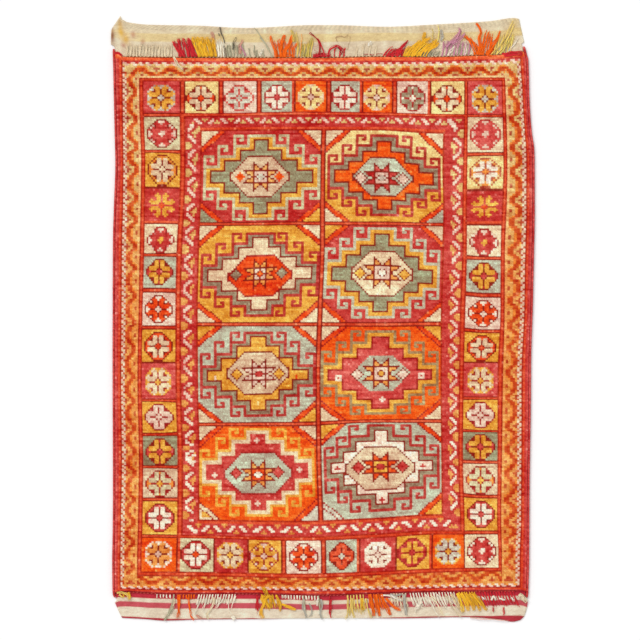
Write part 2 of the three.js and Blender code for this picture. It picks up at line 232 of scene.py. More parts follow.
# Corners with a light stripe instead of an orange edge: compartment, corner and the stripe's wool
LINED_CORNERS = {(6, 2): "cream", (7, 2): "grey"}

# The compartment whose yellow wool gives way to gold, and the row where it does
TURNED = 1
GOLD_FROM = 65

# Small marks in the arms of the crosses and in the inner guard: first row and column, wool and knots
MARKS = [
    (167, 51, "rose", ("x", "x")), (167, 93, "flame", ("x", "x")), (180, 73, "yellow", ("x", "x")),
    (167, 113, "white", ("xxx", "x.x", "xxx")), (166, 153, "white", ("xxx", "x.x", "xxx")),
    (178, 134, "white", (".x.", "xxx", ".x.")), (200, 71, "rose", (".x.", "xxx", ".x.")),
    (217, 49, "rose", (".x.", "xxx", ".x.")), (215, 93, "rose", (".x.", "xxx", ".x.")),
    (232, 71, "rose", (".x.", "xxx", ".x.")), (216, 112, "crimson", (".x.", "xxx")),
    (216, 153, "crimson", (".x.", "xxx")), (232, 133, "crimson", (".x.", "xxx", ".x.")),
    (37, 37, "white", ("xx", "xx")), (38, 39, "straw", ("..x", ".xx", "xxx")),
    (35, 166, "white", ("xx...", ".xx..", "..xx.", "...xx")), (34, 171, "straw", ("xx", "x.")),
    (245, 37, "white", ("xx...", ".xx..", "..xxx", "...xx")), (245, 165, "white", ("..xx", ".xx.", "xx..")),
    (247, 170, "straw", (".x.", "xxx")), (208, 37, "white", ("..xx", "xx..", "xx..", "..xx")),
]

# The band of squares: first row and rows at the two ends, first columns and columns at the two sides
SQUARE_ENDS = ((14, 16), (253, 17))
SQUARES_LEFT = 15
SQUARES_RIGHT = 177
SQUARES_WIDE = 17

# The squares of the two side columns: first row, rows, and the style of the left and right ones
SIDE_SQUARES = [
    (14, 16, "corner", "corner"), (33, 17, "marks_sage", "marks_cream"),
    (53, 16, "gold_gold", "yellow_yellow"), (70, 17, "crimson_gold", "crimson_gold"),
    (89, 14, "marks_gold", "marks_gold"), (106, 15, "aqua_gold", "aqua_gold"),
    (124, 17, "pink_flame", "pink_flame"), (144, 16, "gold_flame", "gold_flame"),
    (161, 17, "crimson_cream", "crimson_cream"), (181, 15, "gold_rose", "gold_rose"),
    (199, 14, "sage_gold", "sage_gold"), (216, 14, "pink_sage", "pink_sage"),
    (233, 17, "gold_white", "gold_white"), (253, 17, "orange_gold", "marks_crimson"),
]

# The squares between the corners at each end: first column, columns and style
TOP_SQUARES = [
    (35, 16, "yellow_orange"), (54, 16, "rose_grey"), (73, 15, "aqua_white"), (90, 15, "orange_yellow"),
    (108, 14, "aqua_white"), (124, 14, "orange_pale"), (141, 15, "grey_taupe"), (158, 16, "yellow_orange"),
]
BOTTOM_SQUARES = [
    (34, 16, "sage_white"), (51, 16, "crimson_sage"), (68, 16, "gold_pink"), (87, 17, "rose_flame"),
    (107, 15, "aqua_flame"), (124, 17, "crimson_white"), (142, 16, "gold_crimson"),
    (160, 16, "orange_grey"),
]

# Styles of the square flowers
STYLE = ("ground", "fill", "leaf", "heart", "tips", "edge")
FLOWERS = {
    "corner": ("pink", "", "gold", "grey", "grey", "dark"),
    "gold_gold": ("gold", "gold", "cream", "cream", "amber", "dark"),
    "yellow_yellow": ("yellow", "yellow", "white", "amber", "amber", "brown"),
    "yellow_orange": ("yellow", "coral", "cream", "flame", "flame", "dark"),
    "crimson_gold": ("crimson", "", "gold", "flame", "", "crimson"),
    "aqua_gold": ("aqua", "crimson", "gold", "crimson", "crimson", "dark"),
    "pink_flame": ("rose", "coral", "flame", "white", "white", "dark"),
    "gold_flame": ("gold", "coral", "cream", "coral", "flame", "dark"),
    "crimson_cream": ("pink", "", "cream", "gold", "gold", "wine"),
    "gold_rose": ("gold", "rose", "rose", "rose", "rose", "wine"),
    "sage_gold": ("moss", "crimson", "gold", "crimson", "crimson", "dark"),
    "pink_sage": ("beige", "gold", "sage", "gold", "amber", "wine"),
    "gold_white": ("gold", "crimson", "white", "crimson", "crimson", "dark"),
    "orange_gold": ("orange", "", "peach", "rose", "white", "dark"),
    "marks_sage": ("sage", "crimson", "", "rose", "rose", "dark"),
    "marks_cream": ("cream", "pink", "", "rose", "rose", "crimson"),
    "marks_crimson": ("cream", "crimson", "", "white", "white", "dark"),
    "marks_gold": ("cream", "crimson", "", "gold", "rose", "wine"),
    "rose_grey": ("rose", "rose", "grey", "grey", "white", "crimson"),
    "aqua_white": ("aqua", "pink", "white", "pink", "pink", "wine"),
    "orange_yellow": ("orange", "", "yellow", "rose", "cream", "dark"),
    "orange_pale": ("orange", "", "yellow", "rose", "rose", "dark"),
    "grey_taupe": ("rose", "white", "taupe", "white", "white", "wine"),
    "sage_white": ("sage", "crimson", "white", "flame", "crimson", "dark"),
    "crimson_sage": ("crimson", "", "cream", "gold", "gold", "dark"),
    "gold_pink": ("gold", "gold", "gold", "rose", "rose", "wine"),
    "rose_flame": ("rose", "crimson", "flame", "white", "white", "dark"),
    "aqua_flame": ("aqua", "coral", "line", "grey", "coral", "dark"),
    "crimson_white": ("crimson", "", "white", "white", "white", "dark"),
    "gold_crimson": ("gold", "crimson", "gold", "crimson", "crimson", "wine"),
    "orange_grey": ("orange", "", "grey", "gold", "gold", "dark"),
}


def fill(chart, row, col, rows, cols, name):
    chart[max(row, 0):row + rows, max(col, 0):col + cols] = INDEX[name]


def spot(chart, row, col, name):
    if name and 0 <= row < ROWS and 0 <= col < COLS:
        chart[row, col] = INDEX[name]


def ring(chart, top, left, bottom, right, name):
    """One knot wide, all round."""
    fill(chart, top, left, 1, right - left + 1, name)
    fill(chart, bottom, left, 1, right - left + 1, name)
    fill(chart, top, left, bottom - top + 1, 1, name)
    fill(chart, top, right, bottom - top + 1, 1, name)


def border(chart, top, left, bottom, right):
    """A red line between two dark ones, inwards from the given box."""
    for k, name in enumerate(("rim", "line", "rim")):
        ring(chart, top + k, left + k, bottom - k, right - k, name)


def flower(chart, row, col, rows, cols, style, most=7):
    """A square with its eight-sided flower, four split leaves and eight small tips."""
    s = dict(zip(STYLE, FLOWERS[style]))
    fill(chart, row, col, rows, cols, s["ground"])
    mid_row = row + rows // 2
    mid_col = col + (cols - 1) // 2
    tall = min(most, (rows - 2) // 2)
    wide = min(7, (cols - 2) // 2)
    for dv in range(-tall, tall + 1):
        for du in range(-wide, wide + 1):
            u = abs(du)
            v = abs(dv)
            r = mid_row + dv
            c = mid_col + du
            cut = u + v - ((wide + tall) // 2 + 2)
            if cut > 0:
                continue
            edge = u == wide or v == tall or cut == 0
            if s["fill"]:
                spot(chart, r, c, s["edge"] if edge else s["fill"])
            if s["leaf"] and not (edge and s["fill"]):
                leaf_flower(chart, r, c, u, v, s)
            elif not s["leaf"]:
                leafless_flower(chart, r, c, du, dv, u, v, wide, tall, s)


def leaf_flower(chart, r, c, u, v, s):
    """One knot of the four split leaves, the outline between them, the heart and the tips."""
    near, far = min(u, v), max(u, v)
    if 1 <= near <= 2 and far <= 5 or not s["fill"] and (near, far) in ((2, 6), (3, 5)):
        spot(chart, r, c, s["leaf"])
    if near == 3 and far <= 4 or near == 0 and 2 <= far <= 4 or (near, far) == (1, 1):
        spot(chart, r, c, s["edge"])
    if near == 4 and far <= 5 and not s["fill"] and s["edge"] == "dark":
        spot(chart, r, c, s["edge"])
    if near + far <= 1:
        spot(chart, r, c, s["heart"])
    if near <= 1 and far == 6 or (near, far) == (0, 5) or (near, far) in ((3, 6), (4, 4), (4, 5)):
        spot(chart, r, c, s["tips"])


def leafless_flower(chart, r, c, du, dv, u, v, wide, tall, s):
    if (v == tall - 1 and u <= 1) or (v == tall - 2 and du == 0):
        spot(chart, r, c, s["tips"])
    if (u == wide - 1 and v <= 1) or (u == wide - 2 and dv == 0):
        spot(chart, r, c, s["tips"])
    if (u, v) in ((4, 4), (5, 3)):
        spot(chart, r, c, s["tips"])
    if (u, v) in ((3, 3), (3, 4), (5, 2)):
        spot(chart, r, c, s["edge"])
    if u + v <= 1 or (du == 1 and dv == -1):
        spot(chart, r, c, s["heart"])


def block(chart, m, i, grow_x, up, down, name):
    """Step i of the cross, grown by so many knots on each side and kept inside the compartment."""
    top = max(m["top"][i] - up, m["row"])
    left = max(m["left"][i] - grow_x, m["col"])
    bottom = min(m["bottom"][i] + down, m["row"] + m["rows"] - 1)
    right = min(m["right"][i] + grow_x, m["col"] + m["cols"] - 1)
    fill(chart, top, left, bottom - top + 1, right - left + 1, name)


def medallion(chart, m):
    """The stepped cross with its two bands and its hooks, the octagon and the star."""
    up, down = m["reach"]
    for i in range(4):
        block(chart, m, i, 3, up, down, m["hooks"])
    for i in range(1, 4):
        hooks(chart, m, i)
    for i in range(4):
        block(chart, m, i, 2, up - 1, down - 1, m["band"])
    for i in range(4):
        block(chart, m, i, 0, 0, 0, m["line"])
    for i in range(4):
        block(chart, m, i, -1, -1, -1, m["cross"])
    octagon(chart, m)
    star(chart, m)


def hooks(chart, m, i):
    """The latch hooks at step i's four outer corners, whose bars lie level with the next step's band."""
    up, down = m["reach"]
    for way, bar, foot in ((1, m["top"][i - 1] - up, m["top"][i] - up),
                           (-1, m["bottom"][i - 1] + down, m["bottom"][i] + down)):
        for side, stem in ((1, m["left"][i] - 3), (-1, m["right"][i] + 3)):
            for k in range(abs(foot - bar)):
                line = HOOK[k] if k < len(HOOK) else "h"
                for u, mark in enumerate(line):
                    r, c = bar + way * k, stem + side * u
                    inside = m["row"] <= r < m["row"] + m["rows"] and m["col"] <= c < m["col"] + m["cols"]
                    if mark == "h" and inside:
                        spot(chart, r, c, m["hooks"])


def octagon(chart, m):
    left, right, top, bottom = m["octagon"]
    wide, high = OCTAGON_CUT
    for r in range(top, bottom + 1):
        for c in range(left, right + 1):
            u, v = min(c - left, right - c), min(r - top, bottom - r)
            share = u * high + v * wide - wide * high
            if share >= 0:
                edge = u == 0 or v == 0 or share < wide
                spot(chart, r, c, m["rim"] if edge else m["octagon_wool"])


def star(chart, m):
    """The eight-pointed star on two upright and two level lines, and a diamond on either side."""
    left, right, top, bottom = m["star"]
    row, first, last = m["diamonds_at"]
    for col in (first, last):
        for dv in range(-3, 4):
            for du in range(-3, 4):
                far = abs(du) + abs(dv)
                spot(chart, row + dv, col + du, m["diamonds"] if far < 3 else m["halo"] if far == 3 else "")
    for k in range(1, TIP_HIGH + 1):
        for a in range(4):
            name = tip_wool(m, a, k, TIP_HIGH)
            for c in (left + a, right - a):
                spot(chart, top - k, c, name)
                spot(chart, bottom + k, c, name)
    for k in range(1, TIP_WIDE + 1):
        for a in range(4):
            name = tip_wool(m, a, k, TIP_WIDE)
            for r in (top + a, bottom - a):
                spot(chart, r, left - k, name)
                spot(chart, r, right + k, name)
    for r in range(top, bottom + 1):
        for c in range(left, right + 1):
            far = abs(2 * c - left - right) / 2 + abs(2 * r - top - bottom) / 2
            name = m["middle"] if far < 2 else "dark" if far < 3 else m["heart"]
            if far == 2.5 and min(abs(r - top), abs(r - bottom)) == 1:
                name = m["heart"]
            if r in (top, bottom) or c in (left, right):
                name = "dark"
            spot(chart, r, c, name)


def tip_wool(m, across, out, reach):
    """A star point's wool: dark along its straight side and its slant, filled between, nothing beyond."""
    slant = int(3 * (reach - out) / (reach - 1) + 0.5)
    if across in (0, slant):
        return "dark"
    return m["tips"] if across < slant else ""


def corner(chart, m, way, side, name, between):
    """A corner's triangle, with its dark lines and its orange edge or its light stripe and rim."""
    top = m["row"] if way < 0 else m["row"] + m["rows"] - 1
    end = m["col"] if side < 0 else m["col"] + m["cols"] - 1
    bands = LINED_BANDS if between else CORNER_BANDS
    for k in range(CORNER_HIGH + 5):
        for u in range(CORNER_WIDE + 5):
            far = (u + 0.5) / CORNER_WIDE + (k + 0.5) / CORNER_HIGH
            place = next((wool for limit, wool in bands if far <= limit), "")
            own = between if between and 0 in (u, k) else name
            place = {"own": own, "between": between}.get(place, place)
            spot(chart, top - way * k, end - side * u, place)


def marks(chart):
    for row, col, name, table in MARKS:
        for r, line in enumerate(table):
            for c, mark in enumerate(line):
                if mark == "x":
                    spot(chart, row + r, col + c, name)


def repeats(starts, count, first, last):
    """For each knot from first to last, its place in a repeat of that many knots."""
    for k in range(first, last):
        n = int(np.searchsorted(starts, k + 0.5, side="right")) - 1
        if 0 <= n < len(starts) - 1:
            share = (k + 0.5 - starts[n]) / (starts[n + 1] - starts[n])
            yield k, int(share * count)


def side_ticks(chart, outer, inner):
    for r in range(3, ROWS - 3):
        spot(chart, r, outer, ("blush", "beige", "brown")[r % 3])
        spot(chart, r, inner, ("brown", "beige", "rose")[r % 3])


def end_ticks(chart, row, pair):
    """Two rows of white strokes that slant down to the right, on the wools of the pair."""
    for c in range(4, COLS - 4):
        spot(chart, row, c, ("blush", "rose", pair[0], pair[0])[c % 4])
        spot(chart, row + 1, c, (pair[1], "blush", "rose", pair[1])[c % 4])


def zigzag(chart, table, starts, last, place):
    """One side of the outer guard; the table's first knots are centred on each start."""
    count = len(table)
    for run, k in repeats([s - 0.5 for s in starts], count, 5, last):
        for d, mark in enumerate(table[k]):
            r, c = place(d, run)
            spot(chart, r, c, "straw" if mark == "." else ZIGZAG_WOOLS[mark])


def outer_guards(chart):
    fill(chart, 0, 0, 2, COLS, "ember")
    fill(chart, 2, 0, 1, COLS, "crimson")
    fill(chart, ROWS - 3, 0, 1, COLS, "wine")
    fill(chart, ROWS - 2, 0, 1, COLS, "line")
    fill(chart, ROWS - 1, 0, 1, COLS, "crimson")
    for col, name in ((0, "pink"), (1, "crimson"), (2, "line"), (3, "rim")):
        fill(chart, 2, col, ROWS - 4, 1, name)
        fill(chart, 2, COLS - 1 - col, ROWS - 4, 1, name)
    side_ticks(chart, 4, 5)
    side_ticks(chart, COLS - 5, COLS - 6)
    end_ticks(chart, 3, ("crimson", "straw"))
    end_ticks(chart, ROWS - 5, ("amber", "wine"))
    turned = list(zip(*END_ZIGZAG))
    last_row = ROWS - 1 - GUARD_ROW
    last_col = COLS - 1 - GUARD_COL
    zigzag(chart, SIDE_ZIGZAG, LEFT_ZIGZAG, ROWS - 5, lambda d, run: (run, GUARD_COL + d))
    zigzag(chart, SIDE_ZIGZAG, RIGHT_ZIGZAG, ROWS - 5, lambda d, run: (run, last_col - d))
    zigzag(chart, turned, TOP_ZIGZAG, COLS - 6, lambda d, run: (GUARD_ROW + d, run))
    zigzag(chart, [k[:5] for k in turned], BOTTOM_ZIGZAG, COLS - 6, lambda d, run: (last_row - d, run))
    for first, step, table in ((GUARD_ROW, 1, TOP_CORNER), (last_row, -1, BOTTOM_CORNER)):
        for d, line in enumerate(table):
            for c, mark in enumerate(line):
                name = "straw" if mark == "." else ZIGZAG_WOOLS[mark]
                spot(chart, first + step * d, GUARD_COL + c, name)
                spot(chart, first + step * d, last_col - c, name)
    border(chart, *OUTER_BORDER)


def inner_guards(chart):
    border(chart, *INNER_BORDER)
    for starts, left in ((LEFT_REPEATS, STROKES_LEFT), (RIGHT_REPEATS, STROKES_RIGHT)):
        for r, k in repeats(starts, len(SIDE_STROKES), *STROKE_ROWS):
            for i, mark in enumerate(SIDE_STROKES[k]):
                mark = "W" if mark in "pw" and r > THICK_FROM else mark
                if mark != ".":
                    place = left + (i if left == STROKES_LEFT else 6 - i)
                    spot(chart, r, place, STROKE_WOOLS[mark])
    ends = ((TOP_STROKES, STROKES_TOP, TOP_REPEATS), (BOTTOM_STROKES, STROKES_BOTTOM, BOTTOM_REPEATS))
    for table, row, starts in ends:
        for c, k in repeats(starts, len(table[0]), *STROKE_COLS):
            for i, line in enumerate(table):
                if line[k] != ".":
                    spot(chart, row + i, c, STROKE_WOOLS[line[k]])
    for row in (FIELD_TOP - 2, FIELD_BOTTOM + 1):
        fill(chart, row, FIELD_LEFT - 1, 1, FIELD_RIGHT - FIELD_LEFT + 2, "line")
    ring(chart, FIELD_TOP - 1, FIELD_LEFT - 1, FIELD_BOTTOM, FIELD_RIGHT, "rim")


def squares(chart):
    """The band of squares: a dark ground, the red lines between, and a flower in each."""
    sides = (SQUARES_LEFT, SQUARES_RIGHT)
    between = SQUARES_LEFT + SQUARES_WIDE
    for row, rows in SQUARE_ENDS:
        fill(chart, row, between, rows, SQUARES_RIGHT - between, "dark")
    for col in sides:
        fill(chart, SQUARE_ENDS[0][0], col, 256, SQUARES_WIDE, "dark")
    for row, rows in SQUARE_ENDS:
        fill(chart, row, between + 1, rows, 1, "line")
        fill(chart, row, SQUARES_RIGHT - 2, rows, 1, "line")
    for (row, rows, _, _), after in zip(SIDE_SQUARES, SIDE_SQUARES[1:]):
        for col in sides if after[0] - row - rows > 1 else ():
            fill(chart, after[0] - 2, col, 1, SQUARES_WIDE, "line")
    for row, rows, *styles in SIDE_SQUARES:
        for col, style in zip(sides, styles):
            flower(chart, row, col, rows, SQUARES_WIDE, style)
    for table, (row, rows), most in zip((TOP_SQUARES, BOTTOM_SQUARES), SQUARE_ENDS, (6, 7)):
        for (col, cols, _), after in zip(table, table[1:]):
            if after[0] - col - cols > 1:
                fill(chart, row, after[0] - 2, rows, 1, "line")
        for col, cols, style in table:
            flower(chart, row, col, rows, cols, style, most)


def field(chart):
    for n, (places, wools) in enumerate(zip(COMPARTMENT_PLACES, COMPARTMENT_WOOLS)):
        m = dict(zip(FIELD_WOOLS, wools))
        m["octagon_wool"] = m["octagon"]
        m.update(zip(PLACES, places))
        fill(chart, m["row"], m["col"], m["rows"], m["cols"], m["ground"])
        if n == TURNED:
            for c in range(m["cols"]):
                first = GOLD_FROM + c * 3 % 4
                fill(chart, first, m["col"] + c, m["row"] + m["rows"] - first, 1, "gold")
        for i, name in enumerate(m["corners"]):
            way = -1 if i < 2 else 1
            side = -1 if i % 2 == 0 else 1
            corner(chart, m, way, side, name, LINED_CORNERS.get((n, i), ""))
        medallion(chart, m)
    marks(chart)
    for row in FIELD_BARS:
        fill(chart, row, FIELD_LEFT, 3, FIELD_RIGHT - FIELD_LEFT, "dark")
        fill(chart, row + 1, FIELD_LEFT, 1, FIELD_RIGHT - FIELD_LEFT, "line")
    fill(chart, FIELD_TOP, FIELD_MIDDLE, FIELD_BOTTOM - FIELD_TOP, 3, "dark")
    fill(chart, FIELD_TOP - 1, FIELD_MIDDLE + 1, FIELD_BOTTOM - FIELD_TOP + 2, 1, "line")


def draw_chart():
    chart = np.zeros((ROWS, COLS), dtype=np.int16)
    outer_guards(chart)
    inner_guards(chart)
    squares(chart)
    field(chart)
    return chart


# The rug's long sides, as height: x, and the pile's ends, as x: height, in millimetres
LEFT_SIDE = {
    -755: -507, -730: -519, -712: -526, -690: -531, -609: -532, -559: -531, -432: -530, -104: -531,
    199: -530, 300: -527, 388: -524, 477: -526, 653: -530, 679: -531, 694: -535, 727: -534, 748: -522,
    764: -511,
}
RIGHT_SIDE = {
    -761: 498, -749: 509, -719: 517, -690: 519, -609: 521, -432: 522, -230: 525, -104: 526, 22: 530,
    148: 533, 262: 535, 388: 535, 426: 534, 477: 527, 552: 522, 653: 519, 668: 515, 722: 503, 757: 495,
}
PILE_TOP = {
    -530: 668, -517: 667, -503: 660, -386: 658, -192: 657, -26: 657, 159: 660, 271: 659, 363: 662, 460: 666,
    478: 672, 515: 674,
}
PILE_BOTTOM = {
    -530: -694, -512: -687, -378: -693, -194: -692, -7: -696, 144: -691, 296: -687, 498: -685, 518: -690,
}
PILE_IN = 6.75

# Where knot rows lie at six places across: knot column, then row and height in millimetres
ROW_LINES = {
    24: {0: 658, 5: 638, 11: 608, 14: 598, 30: 520, 33: 508, 50: 427, 53: 418, 69: 334, 70: 328, 87: 247,
        89: 238, 103: 166, 106: 156, 121: 79, 124: 65, 141: -16, 144: -28, 160: -108, 178: -201, 181: -210,
        196: -287, 199: -297, 213: -369, 216: -378, 230: -450, 233: -461, 250: -543, 253: -553, 270: -637,
        273: -650, 278: -675, 283: -691},
    47: {0: 658, 5: 638, 11: 608, 14: 598, 30: 519, 33: 509, 41: 472, 63: 360, 87: 244, 90: 233, 114: 111,
        139: -8, 142: -20, 191: -261, 194: -272, 217: -387.5, 242: -506, 250: -546, 253: -555, 270: -638,
        273: -651, 278: -676, 283: -692},
    94: {0: 657, 5: 637, 11: 608, 14: 599, 30: 523, 33: 512, 41: 474, 87: 246, 90: 235, 114: 119, 139: -8,
        142: -20, 191: -259, 194: -272, 242: -509, 250: -549, 253: -561, 270: -642, 273: -655, 278: -677,
        283: -695},
    132: {0: 660, 5: 637, 11: 607, 14: 598, 30: 521, 33: 511, 41: 474, 87: 246, 90: 234, 139: -8, 142: -21,
        191: -253, 194: -263, 242: -501, 250: -541, 253: -554, 270: -636, 273: -648, 278: -675, 283: -691},
    162: {0: 659, 5: 639, 11: 607, 14: 598, 30: 517, 33: 508, 41: 466, 87: 243, 90: 232, 114: 109, 139: -6,
        142: -20, 191: -252, 194: -264, 242: -492, 250: -533, 253: -545, 270: -629, 273: -641, 278: -671,
        283: -687},
    185: {0: 664, 5: 641, 11: 609, 14: 599, 30: 516, 33: 507, 50: 421, 53: 410, 69: 329, 70: 321, 87: 246,
        89: 234, 103: 158, 106: 147, 121: 66, 124: 52, 141: -26, 144: -37, 160: -108, 178: -196, 181: -205,
        196: -280, 199: -287, 213: -357, 216: -367, 230: -443, 233: -454, 250: -533, 253: -545, 270: -627,
        273: -638, 278: -668, 283: -686},
}

# Where knot columns lie at nine places along: knot row, then the x of each column named first
COLUMN_MARKS = (6, 12, 15, 32, 43, 104.5, 164, 174, 177, 194, 197, 203)
COLUMN_LINES = {
    4: (-495, -464, -452, -362, -305, 5, 305, 356, 367, 449, 458, 489),
    22: (-495, -464, -452, -362, -305, 5, 305, 356, 367, 451, 462, 496.5),
    57: (-494.5, -459, -447, -360.7, -305, 0, 301, 353, 365, 455, 466, 503),
    81: (-494, -460.7, -448.2, -364, -308, -1, 303, 351, 364, 451, 464, 503),
    99: (-496.5, -462.7, -449.5, -369, -311, -1, 301, 351, 364, 448, 460, 500),
    133: (-497.7, -465, -454, -372.8, -315, -7, 297, 345, 360, 447, 459, 497.5),
    169: (-499.5, -468.2, -456.2, -372.5, -314, -12, 296, 343, 356, 440, 455, 490),
    211: (-496.7, -464.5, -452.5, -367.2, -310, -10, 298, 341, 354, 440, 452.5, 490.5),
    243: (-500, -467, -454, -368, -311, -5, 299, 345, 358, 439, 450.5, 490),
    262: (-501, -469, -457, -371, -313, -3, 298, 348, 359, 442, 452, 486),
}


def curve(xs, ys, at):
    """A smooth line through the points that never overshoots, held level past its ends."""
    xs = np.asarray(xs, float)
    ys = np.asarray(ys, float)
    at = np.clip(np.asarray(at, float), xs[0], xs[-1])
    slopes = np.diff(ys) / np.diff(xs)
    tangents = np.zeros(len(xs))
    product = slopes[:-1] * slopes[1:]
    same = product > 0
    tangents[1:-1][same] = 2 * product[same] / (slopes[:-1] + slopes[1:])[same]
    tangents[0] = slopes[0]
    tangents[-1] = slopes[-1]
    i = np.clip(np.searchsorted(xs, at, side="right") - 1, 0, len(xs) - 2)
    span = xs[i + 1] - xs[i]
    t = (at - xs[i]) / span
    rise = t * t * (3 - 2 * t)
    bend = t * (1 - t) ** 2 * tangents[i] - t * t * (1 - t) * tangents[i + 1]
    return ys[i] + (ys[i + 1] - ys[i]) * rise + bend * span


def along(table, at):
    return curve(list(table), list(table.values()), at)


def left_side(y):
    return along(LEFT_SIDE, y)


def right_side(y):
    return along(RIGHT_SIDE, y)


def knot_grid(rows, cols):
    """Millimetre places of a grid of chart coordinates, bent as the rug lies."""
    lines = [along(line, rows) for line in ROW_LINES.values()]
    stations = list(ROW_LINES)
    y = np.array([curve(stations, [line[i] for line in lines], cols) for i in range(len(rows))])
    x = np.zeros_like(y)
    shares = []
    for r, marks in COLUMN_LINES.items():
        shares.append(curve((0,) + COLUMN_MARKS + (COLS,), (-524,) + marks + (516,), cols))
    shares = np.array(shares)
    for j in range(len(cols)):
        x[:, j] = curve(list(COLUMN_LINES), shares[:, j], rows)
    for _ in range(2):
        top = along(PILE_TOP, x[0])
        bottom = along(PILE_BOTTOM, x[-1])
        fade_top = np.clip(1 - np.asarray(rows) / 12, 0, 1)[:, None] ** 2
        fade_bottom = np.clip(1 - (ROWS - np.asarray(rows)) / 12, 0, 1)[:, None] ** 2
        y = y + (top - y[0]) * fade_top + (bottom - y[-1]) * fade_bottom
        left = left_side(y[:, 0]) + PILE_IN
        right = right_side(y[:, -1]) - PILE_IN
        fade_left = np.clip(1 - np.asarray(cols) / 6, 0, 1)[None, :]
        fade_right = np.clip(1 - (COLS - np.asarray(cols)) / 6, 0, 1)[None, :]
        x = x + (left - x[:, 0])[:, None] * fade_left + (right - x[:, -1])[:, None] * fade_right
    return x, y


# Heights above the floor, in millimetres, as in the frame
PILE_TOP_Z = 9.3
PILE_FOOT_Z = 2.0
KILIM_Z = 2.8
HEM_Z = 3.2
CURL_Z = 4.6
UNDERSIDE_Z = 0.05
KNOT_RISE = 0.45
PILE_UNEVEN = 0.22
EDGE_DROPS = (1.0, 0.35)
MIDDLE_Z = 2.3
LOWEST_Z = 0.9
RIM_DROP = 0.9

# A knot's size and how far its corners wander, as a share of it
KNOT_WIDE = 5.0
KNOT_LONG = 4.9
KNOT_WANDER = 0.09

# How the wool's colour wanders, in steps of the 0 to 255 scale, and how knots meet, with painted shade in
# the valleys between knots
SPREAD = (13, 22, 19)
STREAK_LONG = 17
STREAK_HIGH = 5
SPECK_SHARE = 0.02
SPECK = (24, 50, 46)
FIBRE_TONE = 0.10
TURN_ROWS = (55, 130)
EDGE_BLEND = 0.36
MID_BLEND = 0.24
VALLEY_SHADE = 0.94
PILE_FOOT = (214, 192, 156)
WARP = (206, 180, 140)

rng = np.random.default_rng(11)


def uneven(n):
    """A repeatable unevenness between -1 and 1."""
    return math.sin(n * 12.9898) * math.cos(n * 4.1414 + 1.3)


def to_linear(rgb):
    """Linear light from a colour as seen, 0 to 255."""
    c = np.asarray(rgb, float) / 255
    return np.where(c <= 0.04045, c / 12.92, ((c + 0.055) / 1.055) ** 2.4)


def value_noise(x, y, size, seed):
    """Smooth noise between -1 and 1 over millimetre places."""
    table = np.random.default_rng(seed).uniform(-1, 1, (64, 64))
    u = np.asarray(x) / size + 17.3
    v = np.asarray(y) / size + 11.7
    i = np.floor(u).astype(int)
    j = np.floor(v).astype(int)
    fu = u - i
    fv = v - j
    fu = fu * fu * (3 - 2 * fu)
    fv = fv * fv * (3 - 2 * fv)
    a = table[i % 64, j % 64]
    b = table[(i + 1) % 64, j % 64]
    c = table[i % 64, (j + 1) % 64]
    d = table[(i + 1) % 64, (j + 1) % 64]
    return (a * (1 - fu) + b * fu) * (1 - fv) + (c * (1 - fu) + d * fu) * fv


def pile_lumps(x, y):
    broad = np.sin(x / 130 + 0.4) * np.sin(y / 170 - 0.9)
    return 0.35 * (broad + 0.6 * np.sin(x / 41 + y / 67))


def build(name, points, faces, colours, uvs, material, smooth=False):
    """One mesh from millimetre points; faces are an array of quads plus, last, lists of any length."""
    quads, others = faces
    mesh = bpy.data.meshes.new(name)
    loops = np.concatenate([quads.ravel()] + [np.asarray(f) for f in others]).astype(np.int32)
    sizes = [np.full(len(quads), 4)] + [np.array([len(f)]) for f in others]
    sizes = np.concatenate(sizes).astype(np.int32)
    starts = np.concatenate([[0], np.cumsum(sizes)[:-1]]).astype(np.int32)
    mesh.vertices.add(len(points))
    mesh.vertices.foreach_set("co", (np.asarray(points) * MM).astype(np.float32).ravel())
    mesh.loops.add(len(loops))
    mesh.loops.foreach_set("vertex_index", loops)
    mesh.polygons.add(len(sizes))
    mesh.polygons.foreach_set("loop_start", starts)
    mesh.polygons.foreach_set("use_smooth", np.full(len(sizes), smooth))
    layer = mesh.color_attributes.new("wool", "FLOAT_COLOR", "CORNER")
    rgba = np.ones((len(loops), 4), dtype=np.float32)
    rgba[:, :3] = colours
    layer.data.foreach_set("color", rgba.ravel())
    uv = mesh.uv_layers.new(name="OFBake")
    uv.data.foreach_set("uv", np.asarray(uvs, dtype=np.float32).ravel())
    mesh.update(calc_edges=True)
    mesh.validate()
    mesh.materials.append(material)
    return put_in(name, mesh)


def spread_uv(places):
    """Planar places scaled into the unit square."""
    low = places.min(axis=0)
    size = places.max(axis=0) - low
    return (places - low) / size


